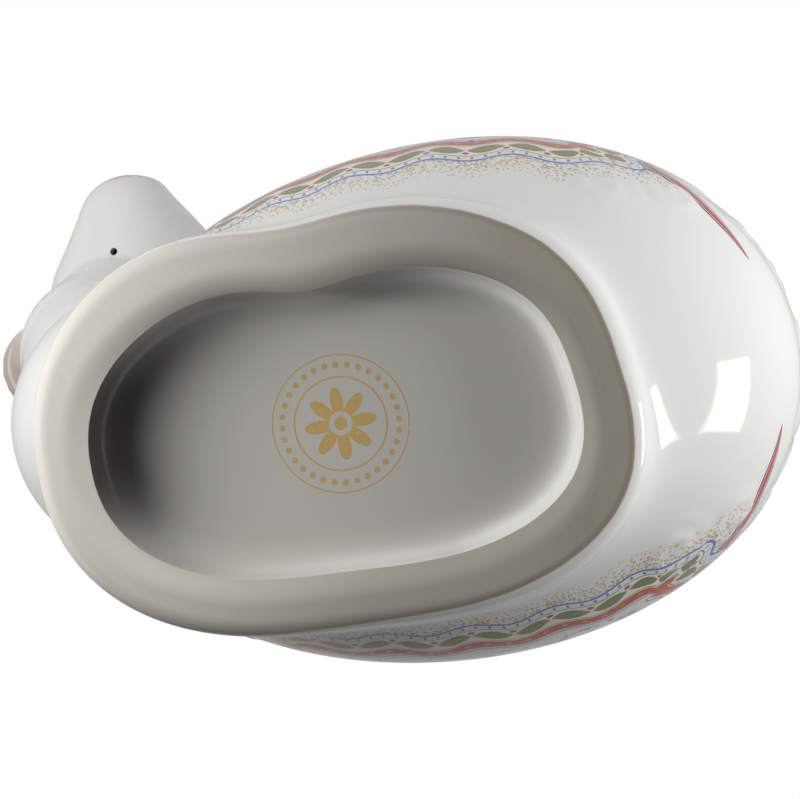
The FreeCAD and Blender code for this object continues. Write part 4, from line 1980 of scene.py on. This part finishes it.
@dataclass(frozen=True)
class FaceGlaze(Glaze):
    """White glaze with a painted face; places are along the gaze and up from the head's centre."""

    name: ClassVar[str] = "face_glaze"

    form: HeadForm
    lid: Colour = (0.2, 0.09, 0.04)
    hole: Colour = (0.07, 0.052, 0.03)
    cheek: tuple[float, float] = (14.0, -4.0)
    eye: tuple[float, float] = (11.0, 7.0)
    eye_half_length: float = 3.3
    eye_half_height: float = 2.2
    glint: tuple[float, float] = (12.0, 7.8)
    nose_up: float = 2.0
    nose_radius: float = 4.6
    nose_squeeze: float = math.sqrt(0.9)

    def decorate(self, coat: Coat) -> None:
        """Paint the cheeks, the nose and the eyes, and paint shade into the vent.

        Args:
            coat: the glaze.
        """
        form = self.form
        x, y, z = coat.shader.place()
        side = x - form.centre[0]
        gap_y = y - form.centre[1]
        gap_z = z - form.centre[2]
        along = gap_y * -math.cos(form.pitch) + gap_z * -math.sin(form.pitch)
        up = gap_y * -math.sin(form.pitch) + gap_z * math.cos(form.pitch)
        cheek = distance(along - self.cheek[0], up - self.cheek[1])
        coat.paint(cheek.below(3.0, 3.0) * up.rise(-6.0, 0.0) * 0.3, Enamel.ROSE)
        ragged = (coat.shader.noise(500.0) - 0.5) * 1.2
        nose = distance(side * self.nose_squeeze, up - self.nose_up) + ragged
        coat.paint(nose.below(self.nose_radius, 0.8) * along.rise(24.0, 26.0) * 0.8, Enamel.ROSE)
        on_cheek = abs(side).rise(9.0, 10.0)
        eye = distance(
            (along - self.eye[0]) / self.eye_half_length, (up - self.eye[1]) / self.eye_half_height)
        coat.paint(eye.below(1.0, 0.04) * on_cheek, Enamel.INK)
        coat.paint(eye.within(1.0, 1.14, 0.04) * on_cheek, self.lid)
        glint = distance(along - self.glint[0], up - self.glint[1])
        coat.paint(glint.below(0.5, 0.1) * on_cheek, WHITE)
        # Painted shade: the vent hole and a sliver round its mouth are painted dark brown.
        hole = distance(x - form.vent[0], y - form.vent[1])
        under = z.below(form.centre[2], 1.0)
        coat.paint(hole.below(form.vent_radius + 0.02, 0.1) * under, self.hole)


@dataclass(frozen=True)
class KnobGlaze(Glaze):
    """White glaze with a blue band and gold ones round the knob."""

    name: ClassVar[str] = "knob_glaze"
    gold_shine: ClassVar[float] = 0.85

    stopper: Stopper
    roughness: float = 0.09

    def decorate(self, coat: Coat) -> None:
        """Paint the bands.

        Args:
            coat: the glaze.
        """
        coat.roughness = self.roughness
        rim = self.stopper.hull.rim_height
        top = rim + self.stopper.flange_thickness
        ball = top + self.stopper.ball_rise
        coat.bands(coat.shader.place()[2], 0.06, (
            (ball - 1.0, ball + 1.0, Enamel.COBALT), (rim + 0.5, top - 0.4, Enamel.GOLD),
            (ball - 1.7, ball - 1.2, Enamel.GOLD), (ball + 1.2, ball + 1.7, Enamel.GOLD),
            (ball + 8.6, ball + 12.0, Enamel.GOLD)))


@dataclass(frozen=True)
class Gilding:
    """Burnished gold with darker, thinner gold in worn clouds."""

    bright: Colour = (0.62, 0.4, 0.13)
    worn: Colour = (0.42, 0.25, 0.08)

    def material(self) -> bpy.types.Material:
        """Make the finish.

        Returns:
            The material.
        """
        shader = Shader("gilding", Metallic=0.9, IOR=1.5)
        cloud = shader.noise(180.0)
        shader.set("Base Color", shader.mix(cloud.rise(0.35, 0.75), self.bright, self.worn))
        shader.set("Roughness", cloud * 0.16 + 0.16)
        shader.bump(shader.noise(1400.0), 0.0001, 0.3)
        return shader.material


@dataclass(frozen=True)
class CorkGrain:
    """Cork with dark pores."""

    light: Colour = (0.5, 0.32, 0.17)
    dark: Colour = (0.36, 0.21, 0.1)
    pores: Colour = (0.1, 0.05, 0.025)

    def material(self) -> bpy.types.Material:
        """Make the finish.

        Returns:
            The material.
        """
        shader = Shader("cork_grain", Roughness=0.85, IOR=1.4)
        cloud = shader.noise(260.0, 5.0)
        pore = shader.specks(420.0)
        base = shader.mix(cloud.rise(0.3, 0.7), self.light, self.dark)
        shader.set("Base Color", shader.mix(pore.below(0.22, 0.06) * cloud, base, self.pores))
        shader.bump(cloud + pore.rise(0.1, 0.3), 0.0004, 0.5)
        return shader.material


# Studio


@dataclass(frozen=True)
class Studio:
    """Camera under the foot, soft lights and a pale floor that shows from above only."""

    focal_length: float = 150.0
    sensor: float = 36.0
    tilt: float = math.radians(7.6)
    roll: float = math.radians(10.7)
    distance: float = 0.690
    aim: tuple[float, float, float] = (0.0167, 0.0013, 0.05)
    aim_right: float = 0.00985
    aim_up: float = -0.00035
    floor_size: float = 4.0

    def camera(self) -> None:
        """Place the camera as the photograph's was."""
        look = Vector((-math.sin(self.tilt), 0.0, math.cos(self.tilt)))
        level = Vector((math.cos(self.tilt), 0.0, math.sin(self.tilt)))
        left = Vector((0.0, -1.0, 0.0))
        right = math.cos(self.roll) * level - math.sin(self.roll) * left
        up = math.sin(self.roll) * level + math.cos(self.roll) * left
        place = Vector(self.aim) - self.distance * look - self.aim_right * right - self.aim_up * up
        data = bpy.data.cameras.new("photo_camera")
        data.lens = self.focal_length
        data.sensor_width = self.sensor
        data.sensor_fit = "HORIZONTAL"
        data.clip_start = 0.01
        camera = bpy.data.objects.new("photo_camera", data)
        turned = Matrix((right, up, -look)).transposed().to_4x4()
        camera.matrix_world = Matrix.Translation(place) @ turned
        bpy.context.scene.collection.objects.link(camera)
        bpy.context.scene.camera = camera

    def panel(
        self, name: str, place: Sequence[float], size: tuple[float, float], power: float,
        target: Sequence[float], mirrored: bool = True, lighting: bool = True,
    ) -> None:
        """Hang one soft box.

        Args:
            name: name of the lamp.
            place: where it hangs.
            size: its width and height.
            power: its power in watts.
            target: the point that it faces.
            mirrored: whether glaze shows its reflection.
            lighting: whether it lights matt surfaces.
        """
        data = bpy.data.lights.new(name, "AREA")
        data.shape = "RECTANGLE"
        data.size, data.size_y = size
        data.energy = power
        lamp = bpy.data.objects.new(name, data)
        lamp.location = place
        lamp.visible_glossy = mirrored
        lamp.visible_diffuse = lighting
        lamp.rotation_euler = (Vector(target) - Vector(place)).to_track_quat("-Z", "Y").to_euler()
        bpy.context.scene.collection.objects.link(lamp)

    def lights(self) -> None:
        """Hang the lights: a key at the chest, one overhead, a white wall, and boxes to mirror."""
        key, breast = (-0.24, -0.13, -0.165), (-0.06, -0.01, 0.0)
        self.panel("key", key, (0.24, 0.24), 1.24, breast, mirrored=False)
        self.panel("key_strip", key, (0.24, 0.08), 0.4, breast, lighting=False)
        self.panel("overhead", (0.02, 0.02, 0.6), (0.6, 0.6), 1.9, (0.02, 0.0, 0.0), mirrored=False)
        self.panel(
            "muzzle_strip", (-0.156, -0.03, -0.005), (0.2, 0.03), 0.07, (-0.056, -0.049, 0.091),
            lighting=False)
        self.panel(
            "white_wall", (0.33, -0.02, -0.064), (0.6, 0.12), 1.54, (0.05, -0.02, 0.02), mirrored=False)
        self.panel(
            "rump_box", (0.18, 0.038, 0.02), (0.06, 0.037), 0.045, (0.077, 0.008, 0.022), lighting=False)

    def world(self) -> None:
        """White to the camera, and to the object a sky that is bright behind and dim in front."""
        world = bpy.data.worlds.new("studio_white")
        world.use_nodes = True
        graph = Graph(world.node_tree)
        x, y, z = graph.axes(graph.node("ShaderNodeTexCoord").outputs["Generated"])
        behind = z.rise(-0.3, 0.9) * 0.4
        left = (x * -1).rise(0.2, 0.95) * 0.06
        top = (y * -1).rise(0.1, 0.95) * 0.24
        right = x.rise(0.3, 0.95) * 0.15
        table = 1 - y.rise(0.0, 0.8) * 0.34
        open_side = 1 - (z * -1).rise(-0.05, 0.25)
        strength = (behind + left + top + right + 0.1) * table * open_side + 0.015
        lit = graph.node("ShaderNodeBackground", inputs={"Color": (1.0, 1.0, 1.0), "Strength": strength})
        seen = graph.node("ShaderNodeBackground", inputs={"Color": (1.0, 1.0, 1.0)})
        camera_ray = graph.node("ShaderNodeLightPath").outputs["Is Camera Ray"]
        mixed = graph.node(
            "ShaderNodeMixShader", inputs={0: camera_ray, 1: lit.outputs[0], 2: seen.outputs[0]})
        graph.node("ShaderNodeOutputWorld", inputs={0: mixed.outputs[0]})
        bpy.context.scene.world = world

    def floor(self) -> None:
        """Lay the pale floor, which only the camera sees, and only from above."""
        deselect_all()
        bpy.ops.mesh.primitive_plane_add(size=self.floor_size, location=(0.0, 0.0, -0.0002))
        floor = bpy.context.active_object
        floor.name = "studio_floor"
        shader = Shader(
            "pale_floor", Base_Color=(0.3, 0.3, 0.295), Roughness=0.9, Specular_IOR_Level=0.0,
            Emission_Color=(0.98, 0.98, 0.96), Emission_Strength=0.45)
        clear = shader.node("ShaderNodeBsdfTransparent")
        behind = shader.node("ShaderNodeNewGeometry").outputs["Backfacing"]
        mixed = shader.node(
            "ShaderNodeMixShader",
            inputs={0: behind, 1: shader.surface.outputs[0], 2: clear.outputs[0]},
        )
        shader.feed(shader.output.inputs["Surface"], mixed.outputs[0])
        floor.data.materials.append(shader.material)
        for ray in ("diffuse", "glossy", "transmission", "shadow"):
            setattr(floor, f"visible_{ray}", False)

    def set_up(self) -> None:
        """Set up the whole studio."""
        self.camera()
        self.lights()
        self.world()
        self.floor()
        bpy.context.scene.view_settings.view_transform = "Standard"


def main() -> None:
    """Build the decanter piece by piece, then the studio round it."""
    logging.basicConfig(level=logging.INFO, format="%(message)s")
    Bottle().dress()
    Head().dress()
    gilt = Gilding().material()
    ear_glaze = EarGlaze().material()
    for side in Side:
        Horn(side).dress(gilt)
        Ear(side).dress(ear_glaze)
    Tail().dress(Glaze().material())
    Stopper().dress()
    Studio().set_up()


if __name__ == "__main__":
    main()
